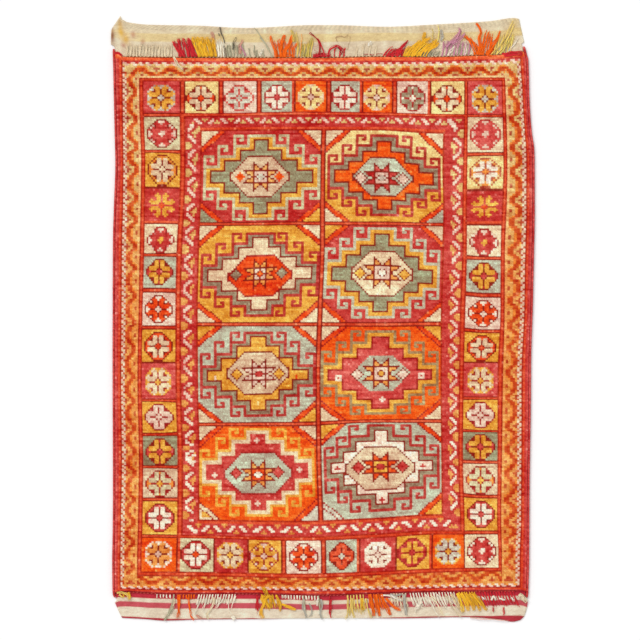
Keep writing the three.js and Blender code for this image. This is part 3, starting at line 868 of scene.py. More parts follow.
def knot_colours(chart, x, y):
    """Linear colour of each knot: its wool's, with streaks, patches and worn specks."""
    seen = np.array(list(WOOLS.values()), float)[chart]
    turn = np.clip((np.arange(ROWS) - TURN_ROWS[0]) / (TURN_ROWS[1] - TURN_ROWS[0]), 0, 1)[:, None, None]
    for pale, warm in (("straw", "amber"), ("peach", "amber"), ("pale", "amber"), ("brown", "rust")):
        change = np.subtract(WOOLS[warm], WOOLS[pale])
        seen += 0.62 * turn * change * (chart == INDEX[pale])[..., None]
    wander = 1.15 * value_noise(x * STREAK_HIGH / STREAK_LONG, y, STREAK_HIGH, 5)
    wander += 0.5 * value_noise(x / 3, y, 22, 6) + 0.55 * value_noise(x, y, 75, 7)
    wander += rng.normal(0, 0.42, chart.shape) + rng.normal(0, 0.26, (chart.shape[0], 1))
    calm = np.where(chart == INDEX["dark"], 0.5, 1.0)
    seen += (wander * calm)[..., None] * SPREAD
    worn = np.clip(value_noise(x, y, 85, 9), 0, 1) * 0.08 + SPECK_SHARE
    speck = (rng.random(chart.shape) < worn) * rng.uniform(0.4, 1.3, chart.shape)
    seen += (speck * np.clip((200 - seen[..., 1]) / 110, 0.12, 1))[..., None] * SPECK
    return to_linear(np.clip(seen, 6, 255))


def pile_grid(chart):
    """Places and heights of a grid twice as fine as the knots."""
    rows = np.arange(2 * ROWS + 1) / 2
    cols = np.arange(2 * COLS + 1) / 2
    x, y = knot_grid(rows, cols)
    full = np.array([FULL.get(name, 1.0) for name in WOOLS])[chart]
    wide = np.pad(full, 1, constant_values=1.0)
    a, b, c, d = wide[:-1, :-1], wide[:-1, 1:], wide[1:, :-1], wide[1:, 1:]
    shift_c = np.zeros_like(x)
    shift_r = np.zeros_like(x)
    shift_c[::2, ::2] = ((a + c) - (b + d)) / 4
    shift_r[::2, ::2] = ((a + b) - (c + d)) / 4
    shift_c[1::2, ::2] = (wide[1:-1, :-1] - wide[1:-1, 1:]) / 2
    shift_r[::2, 1::2] = (wide[:-1, 1:-1] - wide[1:, 1:-1]) / 2
    shift_c += rng.uniform(-KNOT_WANDER, KNOT_WANDER, x.shape)
    shift_r += rng.uniform(-KNOT_WANDER, KNOT_WANDER, x.shape)
    shift_c[:, [0, -1]] = 0
    shift_r[[0, -1]] = 0
    z = PILE_TOP_Z + pile_lumps(x, y)
    z[1::2, 1::2] += KNOT_RISE * rng.uniform(0.5, 1.3, chart.shape)
    z += rng.uniform(-PILE_UNEVEN, PILE_UNEVEN, z.shape)
    for k, drop in enumerate(EDGE_DROPS):
        for edge in (np.s_[k, :], np.s_[-1 - k, :], np.s_[:, k], np.s_[:, -1 - k]):
            z[edge] -= drop
    return x + shift_c * KNOT_WIDE, y - shift_r * KNOT_LONG, z


def pile_band(name, x, y, z, own, first, last, material):
    """Rows of knots as one closed piece: a lumpy top, walls and a flat bottom."""
    high = last - first
    wide = own.shape[1]
    across = 2 * wide + 1
    part = np.s_[2 * first:2 * last + 1, :]
    top = np.stack([x[part], y[part], z[part]], axis=-1).reshape(-1, 3)
    padded = np.pad(own, ((1, 1), (1, 1), (0, 0)), mode="edge")
    blend = np.zeros((2 * own.shape[0] + 1, across, 3))
    blend[1::2, 1::2] = own
    blend[::2, ::2] = (padded[:-1, :-1] + padded[:-1, 1:] + padded[1:, :-1] + padded[1:, 1:]) / 4
    blend[1::2, ::2] = (padded[1:-1, :-1] + padded[1:-1, 1:]) / 2
    blend[::2, 1::2] = (padded[:-1, 1:-1] + padded[1:, 1:-1]) / 2
    r, c = np.meshgrid(np.arange(2 * high), np.arange(2 * wide), indexing="ij")
    a = r * across + c
    quads = np.stack([a, a + across, a + across + 1, a + 1], axis=-1)
    mine = own[first:last].repeat(2, axis=0).repeat(2, axis=1)
    shades = []
    for dr, dc in ((0, 0), (1, 0), (1, 1), (0, 1)):
        a = r + dr
        b = c + dc
        share = np.where((a % 2 == 0) & (b % 2 == 0), EDGE_BLEND, MID_BLEND)
        share = np.where((a % 2 == 1) & (b % 2 == 1), 0.0, share)
        # Painted shade: the valleys between knots, at each knot's corners and edge middles, are darkened
        painted_valley_shade = np.where(share > 0, VALLEY_SHADE, 1.0)[..., None]
        near = blend[2 * first + a, b]
        shades.append((mine * (1 - share[..., None]) + near * share[..., None]) * painted_valley_shade)
    fibre = rng.normal(0, FIBRE_TONE, (2 * high + 1, across))
    tone = np.stack([fibre[r + dr, c + dc] for dr, dc in ((0, 0), (1, 0), (1, 1), (0, 1))], axis=2)
    colours = np.stack(shades, axis=2) * np.exp(tone[..., None] * (1, 1.8, 1.8))
    colours = np.clip(colours, 0, 1).reshape(-1, 3)
    quads = quads.reshape(-1, 4)
    rim = list(range(0, 2 * high * across, across)) + list(range(2 * high * across, top.shape[0] - 1))
    rim += list(range(top.shape[0] - 1, across - 1, -across)) + list(range(across - 1, 0, -1))
    rim = np.array(rim)
    low = top[rim].copy()
    low[:, 2] = PILE_FOOT_Z
    n = len(rim)
    under = top.shape[0] + np.arange(n)
    ahead = np.roll(np.arange(n), -1)
    walls = np.stack([rim, under, under[ahead], rim[ahead]], axis=-1)
    light = blend[2 * first:2 * last + 1].reshape(-1, 3)[rim]
    # Painted shade: each wall darkens to 0.7 of its rim's colour at its foot
    wall_colours = np.stack([light, light * 0.7, light[ahead] * 0.7, light[ahead]], axis=1).reshape(-1, 3)
    bottom = under[::-1]
    points = np.concatenate([top, low])
    flat = spread_uv(points[:, :2])
    loops = np.concatenate([quads.ravel(), walls.ravel(), bottom])
    uvs = flat[loops]
    uvs[:, 1] = 0.06 + 0.94 * uvs[:, 1]
    uvs[quads.size:, 1] *= 0.05
    colours = np.concatenate([colours, wall_colours, np.tile(to_linear(PILE_FOOT), (n, 1))])
    return build(name, points, (np.concatenate([quads, walls]), [bottom]), colours, uvs, material)


# The flat-woven ends' outer edges, as x: height, and the wrapping
HEM_LINE = {
    -511: 764, -495: 749, -434: 742, -323: 740, -192: 734, -26: 741, 30: 741, 159: 737, 288: 743, 419: 751,
    482: 759, 495: 757,
}
STRIPED_RIM = {
    -507: -755, -449: -758, -399: -762, -310: -759, -194: -758, 43: -756, 195: -756, 363: -753, 447: -759,
    478: -765, 498: -761,
}
NOTCH_START = 21
NOTCH_END = 24
SELVEDGE_WIDTH = 6.4
SELVEDGE_HEIGHT = 8.2
SELVEDGE_GAP = 0.35
SELVEDGE_PAST_PILE = 14
WRAP_PITCH = 3.4
# The wrapping's rose and crimson wools, and a darker mauve painted as shade on the wrapping's outward flank
WRAP_COLOURS = ((222, 92, 86), (200, 46, 46), (178, 86, 82))
WRAP_SIDES = 14
HALF_WIDE = 520
CLOTH_COLUMNS = 310
KILIM_ROWS = 44
MIDDLE_ROWS = 60

# Stripes of the two ends: how far out from the pile each runs, and its colour
TOP_STRIPES = [
    (3, (214, 160, 122)), (41, (246, 226, 192)), (62, (246, 218, 158)), (71, (246, 226, 188)),
    (200, (236, 216, 180)),
]
BOTTOM_STRIPES = [
    (15, (212, 54, 70)), (25, (250, 230, 202)), (39, (218, 92, 100)), (64, (250, 232, 204)),
    (200, (196, 58, 68)),
]
STRIPE_BLUR = 1.6
HEM_RIB = 4.6
HEM_LONG = 12
RIM_ROUND = 1.6

# The curled left edge of the cream end: its middle's height, reach, distance in and width
CURL_AT = 710
CURL_LONG = 20
CURL_IN = 6
CURL_WIDE = 7

# Stains of the cream end, and a dark brown on its curled left edge that is partly the edge's own rust-brown
# and partly
# painted shadow of the curl: x, distance out, reach across and along, colour and strength
STAINS_AND_CURL_SHADE = [
    (-502, 51, 30, 12, (246, 226, 192), 0.9), (-531, 46, 5, 20, (140, 66, 40), 0.9),
    (-512, 80, 6, 12, (216, 164, 92), 0.8), (-509.6, 60, 8, 13, (246, 192, 72), 0.9),
    (-497, 46, 8, 12, (244, 190, 78), 0.85), (-503, 30, 6, 5, (206, 132, 110), 0.7),
    (-479, 58, 6, 8, (204, 124, 96), 0.7), (-454, 40, 5, 8, (210, 146, 112), 0.6),
    (484, 70, 12, 22, (246, 210, 120), 0.5), (462, 36, 22, 20, (244, 212, 130), 0.4),
    (250, 70, 60, 9, (240, 216, 170), 0.5),
]

LOCK_COLOURS = {
    "cream": (236, 216, 180), "crimson": (212, 44, 52), "gold": (250, 186, 48), "white": (252, 238, 214),
    "sage": (182, 174, 144), "orange": (252, 106, 22), "yellow": (242, 210, 112), "mauve": (208, 142, 162),
    "dark": (112, 102, 86), "blush": (226, 164, 142), "olive": (208, 188, 84), "amber": (244, 150, 60),
    "grey": (188, 182, 168), "ember": (168, 32, 36), "brown": (204, 158, 118), "beige": (232, 204, 160),
}
STRIP_GAP = 1.0
STRIP_WIDTH = 3
LOCK_BASE = 3.6
LAYER_RISE = 2.5
LOCK_WIDTH = 5.2
STRANDS = 4
STRAND_STEPS = 16
STRAND_SIDES = 5
YARN_TWIST = 0.35
LOCK = ("from", "to", "count", "reach", "lean", "layer", "colour")
TOP_LOCKS = [
    (-497, -378, 15, 38, 0, 0, "cream"), (-366, -318, 7, 44, -8, 0, "crimson"),
    (-314, -268, 7, 46, -8, 0, "gold"), (-266, -246, 3, 48, -4, 0, "white"),
    (-244, -196, 6, 42, -3, 0, "sage"), (-190, -140, 3, 26, -6, 0, "sage"),
    (-132, -126, 1, 66, -40, 1, "sage"), (-119, -72, 6, 56, -8, 0, "orange"),
    (-69, -26, 5, 52, 6, 0, "yellow"), (-22, 18, 5, 13, 0, 0, "crimson"), (2, 8, 1, 58, -22, 1, "crimson"),
    (22, 60, 3, 26, 5, 0, "crimson"), (76, 140, 4, 32, 4, 0, "cream"), (150, 202, 7, 26, 22, 0, "crimson"),
    (206, 264, 8, 44, 42, 1, "gold"), (240, 292, 5, 18, 10, 0, "sage"), (296, 372, 8, 42, 8, 0, "mauve"),
    (380, 392, 2, 60, -26, 1, "orange"), (396, 422, 4, 62, 14, 0, "orange"),
    (428, 478, 6, 58, 12, 0, "yellow"),
]
BOTTOM_LOCKS = [
    (-516, -486, 4, 14, 4, 0, "gold"), (-422, -382, 5, 12, 0, 0, "white"),
    (-379, -373, 1, 60, -18, 1, "sage"), (-369, -322, 7, 14, 0, 0, "orange"),
    (-364, -360, 1, 60, 0, 1, "orange"), (-340, -336, 1, 60, 3, 1, "orange"),
    (-316, -218, 14, 30, -8, 0, "white"), (-169, -163, 1, 46, -2, 0, "crimson"),
    (-159, -112, 5, 44, 10, 0, "gold"), (-106, -10, 13, 13, 0, 0, "white"), (-52, -46, 1, 58, 6, 1, "sage"),
    (-14, -8, 1, 58, 8, 1, "sage"), (14, 20, 1, 60, 2, 0, "crimson"), (58, 106, 6, 56, 6, 0, "yellow"),
    (112, 150, 6, 52, 12, 0, "orange"), (168, 212, 6, 42, 6, 0, "cream"),
    (216, 334, 16, 40, 16, 0, "white"), (340, 386, 7, 44, 26, 0, "gold"),
    (390, 484, 13, 44, 18, 0, "crimson"),
]


# The photo's scale, in millimetres a pixel, and the pixel at the rug's origin
PIXEL = 2.525
PHOTO_MIDDLE = (322.85, 318.75)

# A bunch's width beside the width read, and how near the pile's edge one starts that is read just inside it
WIDTH_SHARE = 0.72
SEAM_INSIDE = 3
SEAM_OUT = 2

# Loose bunches of yarn by colour and layer: yarns, half thickness, and the places they pass through, read in
# the photo, each as pixels across and down and its width in pixels
TOP_BUNCHES = [
    ("crimson", 1, [
        (4, 1.3, (182, 57, 4), (178, 50, 3), (174.5, 44, 5), (174, 41, 3)),
        (4, 1.3, (185, 57, 4), (181.5, 50, 3), (179, 42, 5), (178.5, 39, 3)),
        (4, 1.3, (189, 57, 4), (186.5, 48, 4), (184, 41, 5), (183, 38.5, 3)),
        (4, 1.3, (193, 57, 4), (191, 48, 4), (188.5, 41, 5), (188, 38, 3)),
        (3, 1.3, (197, 57, 4), (193, 50, 4), (190.5, 44, 4), (190, 40, 3))]),
    ("gold", 1, [
        (4, 1.3, (200, 57, 5), (196.5, 48, 5), (194, 41, 6), (193, 37, 4)),
        (4, 1.3, (204, 57, 5), (200.5, 48, 5), (198, 41, 6), (197, 37, 4)),
        (4, 1.3, (208, 57, 5), (205, 48, 5), (202.5, 41, 6), (202, 37, 4)),
        (4, 1.3, (212, 57, 5), (209.5, 48, 5), (207.5, 41, 6), (207, 37, 4)),
        (3, 1.3, (216, 57, 4), (214.5, 48, 5), (213, 42, 6), (212, 38, 4))]),
    ("blush", 0, [(3, 1.0, (213.5, 41, 2), (213, 37, 5), (212, 32, 3))]),
    ("dark", 1, [
        (1, 1.6, (219.9, 27.3, 1), (221.1, 32.4, 1), (223, 38, 1), (225, 43.5, 1)),
        (1, 1.1, (218.5, 33.5, 1), (219.5, 36.5, 1)),
        (2, 0.8, (226, 57, 3), (225, 51, 3), (224, 46, 2))]),
    ("sage", 1, [(3, 0.9, (230, 57, 4), (229, 50, 3), (228, 45, 2))]),
    ("dark", 1, [(2, 0.8, (233, 50, 3), (234, 43, 4), (236, 37, 3))]),
    ("blush", 1, [(3, 0.9, (240, 54, 4), (240, 47, 4), (243, 40, 2))]),
    ("mauve", 1, [(2, 0.9, (246, 56, 2), (243, 50, 2), (240, 45, 2))]),
    ("white", 0, [(3, 0.9, (220, 56, 3), (218, 49, 4), (217, 43, 2))]),
    ("sage", 0, [(2, 0.9, (256, 57, 2), (254.5, 51, 2), (254, 45, 1))]),
    ("white", 0, [(3, 0.9, (260, 56, 2), (262, 52, 3), (263, 49, 2))]),
    ("sage", 1, [
        (1, 1.1, (254.5, 28, 1), (258, 32, 1), (262.5, 40, 1), (266, 46, 1), (269, 51, 1),
         (272, 57, 1))]),
    ("orange", 1, [
        (3, 1.2, (276, 58, 4), (275.5, 52, 4), (273, 46, 3), (271.5, 40, 3), (270.5, 36, 2)),
        (4, 1.4, (281, 58, 4), (280.5, 51, 4), (281, 45, 5), (283, 40, 6), (285, 35, 2)),
        (4, 1.4, (284, 58, 5), (285, 51, 4), (289, 46, 4), (290.5, 41, 5), (292, 35, 2)),
        (3, 1.1, (293, 58, 4), (293, 52, 4), (295, 47, 3), (297.5, 42, 2))]),
    ("orange", 0, [(4, 1.2, (279, 58, 8), (286, 55, 7), (292, 57, 5))]),
    ("amber", 1, [(1, 0.9, (300, 57, 2), (300.5, 48, 2), (302, 40, 2), (302, 34, 1))]),
    ("olive", 1, [
        (2, 0.9, (303, 56, 3), (302.5, 50, 3), (303, 45, 2)),
        (3, 0.9, (306, 57, 3), (308, 50, 3), (310, 44, 3), (312, 38, 2))]),
    ("yellow", 1, [
        (2, 0.9, (309, 57, 2), (308, 50, 2), (306, 44, 2)),
        (5, 1.0, (294, 42, 4), (293, 36, 7), (291, 30, 3)),
        (2, 0.9, (298, 47, 2), (297, 38, 3), (296, 32, 1))]),
    ("crimson", 1, [(4, 1.3, (313, 56, 5), (322, 55.5, 5), (331, 56, 5))]),
    ("ember", 1, [(2, 1.1, (319, 55, 2), (320, 48, 2.5), (318, 41, 2), (314, 36.5, 2), (309.5, 33, 1))]),
    ("blush", 1, [(1, 0.8, (319, 53, 1), (314.5, 50.5, 1), (314, 47, 1), (318, 45.5, 1))]),
    ("crimson", 1, [
        (3, 1.1, (328.5, 56, 2), (329, 51, 2.5), (333, 47.5, 3), (337, 46, 4), (341, 49, 4),
         (343.5, 52.5, 3))]),
    ("ember", 1, [(2, 1.0, (338, 47, 3), (341, 51, 3), (341.5, 55, 2))]),
    ("brown", 0, [
        (1, 0.7, (337, 42, 1), (336, 38, 1), (341, 36.5, 1), (345, 37, 1), (348.5, 34.5, 1)),
        (1, 0.6, (350, 36, 1), (349, 44, 1), (347, 50, 1))]),
    ("white", 0, [(4, 1.3, (368, 46, 2), (370, 43.5, 4), (372, 42, 3))]),
    ("ember", 0, [(1, 0.7, (364, 54.3, 1), (372, 54.6, 1), (383, 54, 1))]),
    ("crimson", 1, [
        (4, 1.1, (386, 57, 3), (392, 54, 3), (399, 50, 3), (404, 45, 3), (408, 41, 1.5)),
        (4, 1.1, (391, 57, 4), (396, 53, 4), (401, 49, 3), (404, 45, 2)),
        (4, 1.1, (396, 57, 5), (399, 54, 4), (402, 51, 3)),
        (2, 1.1, (402, 57, 3), (402, 53, 2))]),
    ("ember", 1, [(2, 0.9, (400, 49, 3), (404, 45, 3), (408, 40.5, 1.5))]),
    ("gold", 1, [
        (3, 1.2, (404, 57, 4), (407, 50, 4), (410, 46, 3)),
        (4, 1.2, (407, 57, 4), (412, 49, 5), (418, 43, 4), (421, 41, 3)),
        (4, 1.3, (411, 57, 4), (417, 49, 5), (424, 42, 5), (430, 38, 3)),
        (4, 1.3, (416, 56, 4), (424, 50, 5), (432, 44, 5), (437, 40, 3)),
        (4, 1.3, (424, 44, 4), (424, 38, 5), (425, 32.5, 3)),
        (4, 1.2, (424, 51, 5), (434, 47, 5), (439, 43, 3))]),
    ("yellow", 1, [
        (1, 1.0, (432, 42, 2), (433, 34, 1.5), (432, 28, 1)),
        (1, 1.0, (437, 42, 2), (439, 34, 1.5), (438, 25, 1))]),
    ("olive", 0, [(2, 0.9, (421, 57, 3), (422, 52, 3))]),
    ("sage", 0, [
        (2, 0.9, (426, 57, 3), (427, 52, 3)),
        (2, 0.9, (431, 57, 3), (432, 52, 3)),
        (2, 0.9, (436, 57, 3), (437, 51.5, 3))]),
    ("grey", 1, [(4, 1.0, (441, 41, 2), (442, 35, 4), (440.5, 30, 3))]),
    ("mauve", 1, [
        (4, 1.2, (446, 48, 2), (449, 44, 4), (454, 40, 5), (458, 36, 6), (460, 31, 4), (459, 28, 2)),
        (3, 1.1, (452, 44, 3), (457, 41, 4), (462, 37, 4), (465, 33, 2))]),
    ("white", 0, [(3, 0.9, (448, 56, 3), (451, 51, 4), (455, 46, 2))]),
    ("sage", 0, [(3, 0.9, (456, 56, 3), (459, 50, 4), (460, 44, 2))]),
    ("white", 0, [(3, 0.9, (464, 56, 3), (466, 50, 4), (466, 44, 2))]),
    ("orange", 1, [
        (4, 1.4, (478, 57, 5), (479, 51, 5), (480, 46, 4), (479, 38, 3), (481, 33, 3), (479, 27, 3),
         (476, 23.5, 2)),
        (3, 1.2, (480, 57, 4), (479, 51, 3), (476, 46, 3), (473, 42.5, 3), (468, 39, 3),
         (464, 36.5, 2)),
        (4, 1.4, (486, 57, 5), (489, 51, 5), (493, 45, 5), (497, 39, 4), (500, 31, 2)),
        (3, 1.2, (482, 57, 4), (483, 50, 4), (482.5, 44, 3))]),
    ("orange", 0, [
        (4, 1.2, (490, 57, 5), (492, 52, 5), (495, 47, 4)),
        (4, 1.2, (474, 57, 5), (477, 53, 5), (479, 50, 4))]),
    ("yellow", 1, [
        (2, 0.9, (491, 56, 2), (498, 48, 3), (505, 38, 2), (510, 28, 2), (513, 21, 2)),
        (2, 0.9, (496, 56, 2), (502, 48, 3), (509, 36, 2), (514, 24, 1)),
        (2, 0.9, (500, 55, 2), (506, 47, 2), (511, 38, 1))]),
    ("white", 0, [(2, 0.9, (506, 54, 2), (513, 46, 2), (518, 38, 1))]),
    ("crimson", 0, [
        (5, 1.5, (502, 56, 3), (512, 54, 6), (522, 53.5, 6)),
        (5, 1.5, (114, 55, 5), (117, 54, 5), (122, 57, 3))]),
    ("cream", 1, [(3, 1.0, (174, 57, 3), (176, 62, 3), (180, 67, 3), (183, 70, 2))]),
]
BOTTOM_BUNCHES = [
    ("yellow", 1, [(3, 1.1, (117, 590.5, 3), (122, 592.5, 3), (128, 595, 3), (129.5, 600, 3))]),
    ("gold", 1, [(3, 1.1, (128, 592, 4), (129, 595.5, 4), (129.5, 599, 2))]),
    ("yellow", 0, [(2, 1.0, (119, 595, 2), (124, 597.5, 2))]),
    ("cream", 1, [(2, 1.1, (174.5, 598, 2), (174, 603, 2), (173, 608, 2))]),
    ("sage", 1, [(3, 1.0, (173, 607, 2), (169, 613, 3), (166, 617.5, 3), (164.5, 620.5, 2))]),
    ("orange", 1, [
        (3, 1.1, (178, 597, 2), (178.5, 606, 2), (178.5, 612, 3), (178, 618, 5)),
        (2, 1.0, (188, 597, 2), (189.5, 606, 2), (190.5, 612, 2), (191, 617, 3)),
        (2, 1.0, (191, 616, 2), (194, 620, 2))]),
    ("white", 1, [
        (2, 1.0, (198, 598, 2), (198.5, 603, 2), (196.5, 609, 2), (194.5, 614, 2)),
        (2, 1.0, (207, 597, 2), (205, 604, 2), (203, 610, 2))]),
    ("cream", 1, [(3, 1.0, (213, 597, 4), (214, 602, 4), (211, 608, 2), (208, 613, 2))]),
    ("white", 1, [
        (2, 1.0, (219, 597, 3), (219, 602, 3), (216, 608, 2)),
        (1, 0.9, (224, 598, 2), (217, 607, 1)),
        (1, 0.9, (228, 596, 2), (228.5, 603, 1.5), (229.5, 609, 2), (232, 615, 2)),
        (1, 0.9, (236, 596, 2), (233, 603, 1.5), (231.5, 608, 1.5))]),
    ("blush", 0, [(3, 1.0, (196, 615, 3), (202, 618.5, 3))]),
    ("cream", 0, [(3, 1.0, (207, 613, 3), (208, 619, 3))]),
    ("white", 0, [(5, 1.2, (232, 616, 4), (235, 619.5, 5))]),
    ("crimson", 1, [(3, 1.1, (257, 596, 3), (258, 606, 3), (258, 611, 1.5))]),
    ("blush", 0, [
        (1, 0.7, (257, 611, 1), (257, 615, 1)),
        (1, 0.7, (260, 610, 1), (259, 616, 1))]),
    ("gold", 1, [
        (4, 1.2, (263, 595, 5), (262, 599, 4), (264, 603, 4), (262, 608, 4), (261, 613, 5),
         (263, 618.5, 5)),
        (3, 1.2, (269, 595, 4), (265, 600, 4), (268, 605, 4), (271, 608, 3)),
        (4, 1.2, (263, 587, 4), (265, 590, 5), (267, 593, 4), (264, 597, 4)),
        (3, 1.1, (270, 595, 3), (272, 600, 3), (270, 606, 2)),
        (3, 1.1, (276, 595, 3), (279, 600, 3), (281, 606, 3), (280, 611.5, 3)),
        (4, 1.3, (282, 604, 2), (289, 607, 4), (296, 609.5, 4))]),
    ("grey", 1, [
        (3, 1.0, (304, 599, 3), (303, 606, 3), (305, 612, 3), (307, 618, 4)),
        (2, 0.9, (309, 603, 2), (312, 611, 2), (309, 617, 2))]),
    ("white", 1, [(2, 1.0, (318, 598, 2), (317, 606, 2))]),
    ("grey", 1, [(3, 1.0, (321, 599, 2), (322, 606, 2), (320, 613, 2), (323, 619, 3))]),
    ("crimson", 1, [(2, 1.1, (331, 599, 2), (331, 606, 2), (330, 612, 3), (331, 618, 4))]),
    ("yellow", 1, [
        (2, 1.0, (348, 598, 2), (347.5, 608, 1.5), (347, 616, 2), (345, 619, 3)),
        (2, 1.0, (352, 598, 1.5), (352, 608, 1.5), (354, 616, 2), (354, 618, 3))]),
    ("gold", 1, [(3, 1.0, (362, 598, 2), (362, 604, 3), (363, 610, 4))]),
    ("yellow", 1, [(2, 1.0, (366, 598, 2), (368, 608, 2), (370, 614, 3), (372, 618, 3))]),
    ("orange", 1, [
        (4, 1.3, (370, 594, 4), (371, 602, 4), (373, 610, 4), (374, 616, 4)),
        (4, 1.3, (376, 594, 4), (377, 603, 4), (379, 612, 4), (380, 616, 3)),
        (4, 1.3, (381, 594, 3), (384, 602, 4), (388, 610, 5), (390, 615, 3)),
        (3, 1.2, (386, 598, 3), (390, 603, 3), (396, 608, 4), (401, 610, 3))]),
    ("white", 1, [(3, 1.0, (381, 595, 2), (388, 595, 2), (396, 598, 3), (402, 600, 3))]),
    ("grey", 1, [
        (3, 1.0, (390, 594, 2), (396, 595, 2), (402, 594, 2)),
        (3, 1.2, (404, 594, 3), (404.5, 600, 3), (405, 606, 4), (406, 611, 4), (406, 615, 2))]),
    ("white", 1, [
        (2, 1.1, (413, 594, 2), (415, 600, 2), (419, 606, 2)),
        (3, 1.1, (421, 597, 3), (419, 603, 3), (416, 607, 2), (415, 612, 2)),
        (3, 1.2, (422, 601, 3), (419, 605, 3), (417, 609, 3)),
        (2, 1.1, (425, 594, 2), (430, 602, 2), (434, 610, 2), (439, 617, 2))]),
    ("cream", 1, [(2, 1.1, (430, 594, 2), (436, 602, 2), (441, 611, 2), (444, 616, 2))]),
    ("white", 1, [(2, 1.1, (437, 594, 2), (442, 602, 2), (446, 609, 2))]),
    ("cream", 1, [(2, 1.1, (445, 594, 3), (450, 602, 3), (455, 611, 2), (461, 617, 2))]),
    ("beige", 1, [(4, 1.2, (451, 594, 4), (456, 601, 5), (459, 607, 5), (463, 613, 3))]),
    ("gold", 1, [
        (3, 1.3, (457, 593, 3), (460, 600, 4), (462, 607, 5), (463, 612, 4)),
        (3, 1.3, (461, 593, 3), (465, 600, 5), (467, 606, 5), (468, 611, 4)),
        (3, 1.3, (465, 593, 3), (470, 600, 5), (473, 606, 5), (474, 610, 4)),
        (3, 1.3, (469, 593, 3), (475, 600, 5), (479, 607, 5), (480, 611, 4)),
        (3, 1.3, (473, 593, 3), (479, 600, 5), (484, 607, 4), (487, 610, 3))]),
    ("white", 1, [
        (3, 1.0, (491, 600, 2), (493, 596, 2), (496, 600, 2)),
        (2, 0.9, (499, 598, 2), (505, 600, 2)),
        (2, 0.9, (511, 597, 2), (514, 601, 2)),
        (2, 0.9, (482, 597, 1), (485, 599, 2))]),
    ("crimson", 1, [
        (2, 1.1, (493, 607, 3), (493, 612, 2)),
        (2, 1.1, (503.5, 607, 3), (504, 615, 2))]),
    ("cream", 1, [(6, 1.3, (519, 594, 4), (523, 598, 7), (527, 602, 5))]),
    ("blush", 0, [(2, 0.7, (470, 617.5, 2), (490, 619, 2), (508, 620, 1))]),
]


def pile_line(outward, x):
    return along(PILE_TOP if outward > 0 else PILE_BOTTOM, x)


def rim_line(outward, x):
    return along(HEM_LINE if outward > 0 else STRIPED_RIM, x)


def stripe_colour(stripes, away):
    """Stripes whose edges run softly into one another."""
    colours = [to_linear(rgb) for _, rgb in stripes]
    light = np.tile(colours[0], (len(away), 1))
    for (end, _), colour in zip(stripes, colours[1:]):
        share = np.clip((away - end) / STRIPE_BLUR + 0.5, 0, 1)[:, None]
        light = light * (1 - share) + colour * share
    return light


def stain_and_shade(light, x, away):
    for at, out, wide, high, rgb, strength in STAINS_AND_CURL_SHADE:
        far = ((x - at) / wide) ** 2 + ((away - out) / high) ** 2
        share = (strength * np.exp(-far))[:, None]
        light = light * (1 - share) + to_linear(rgb) * share
    return light


def cloth_rows():
    """The cloth's rows from the striped rim up: side, and share of the way out or across the middle."""
    rows = [(-1, t) for t in np.linspace(1, 0, KILIM_ROWS)]
    rows += [(0, t) for t in np.linspace(0, 1, MIDDLE_ROWS + 2)[1:-1]]
    rows += [(1, t) for t in np.linspace(0, 1, KILIM_ROWS)]
    return rows


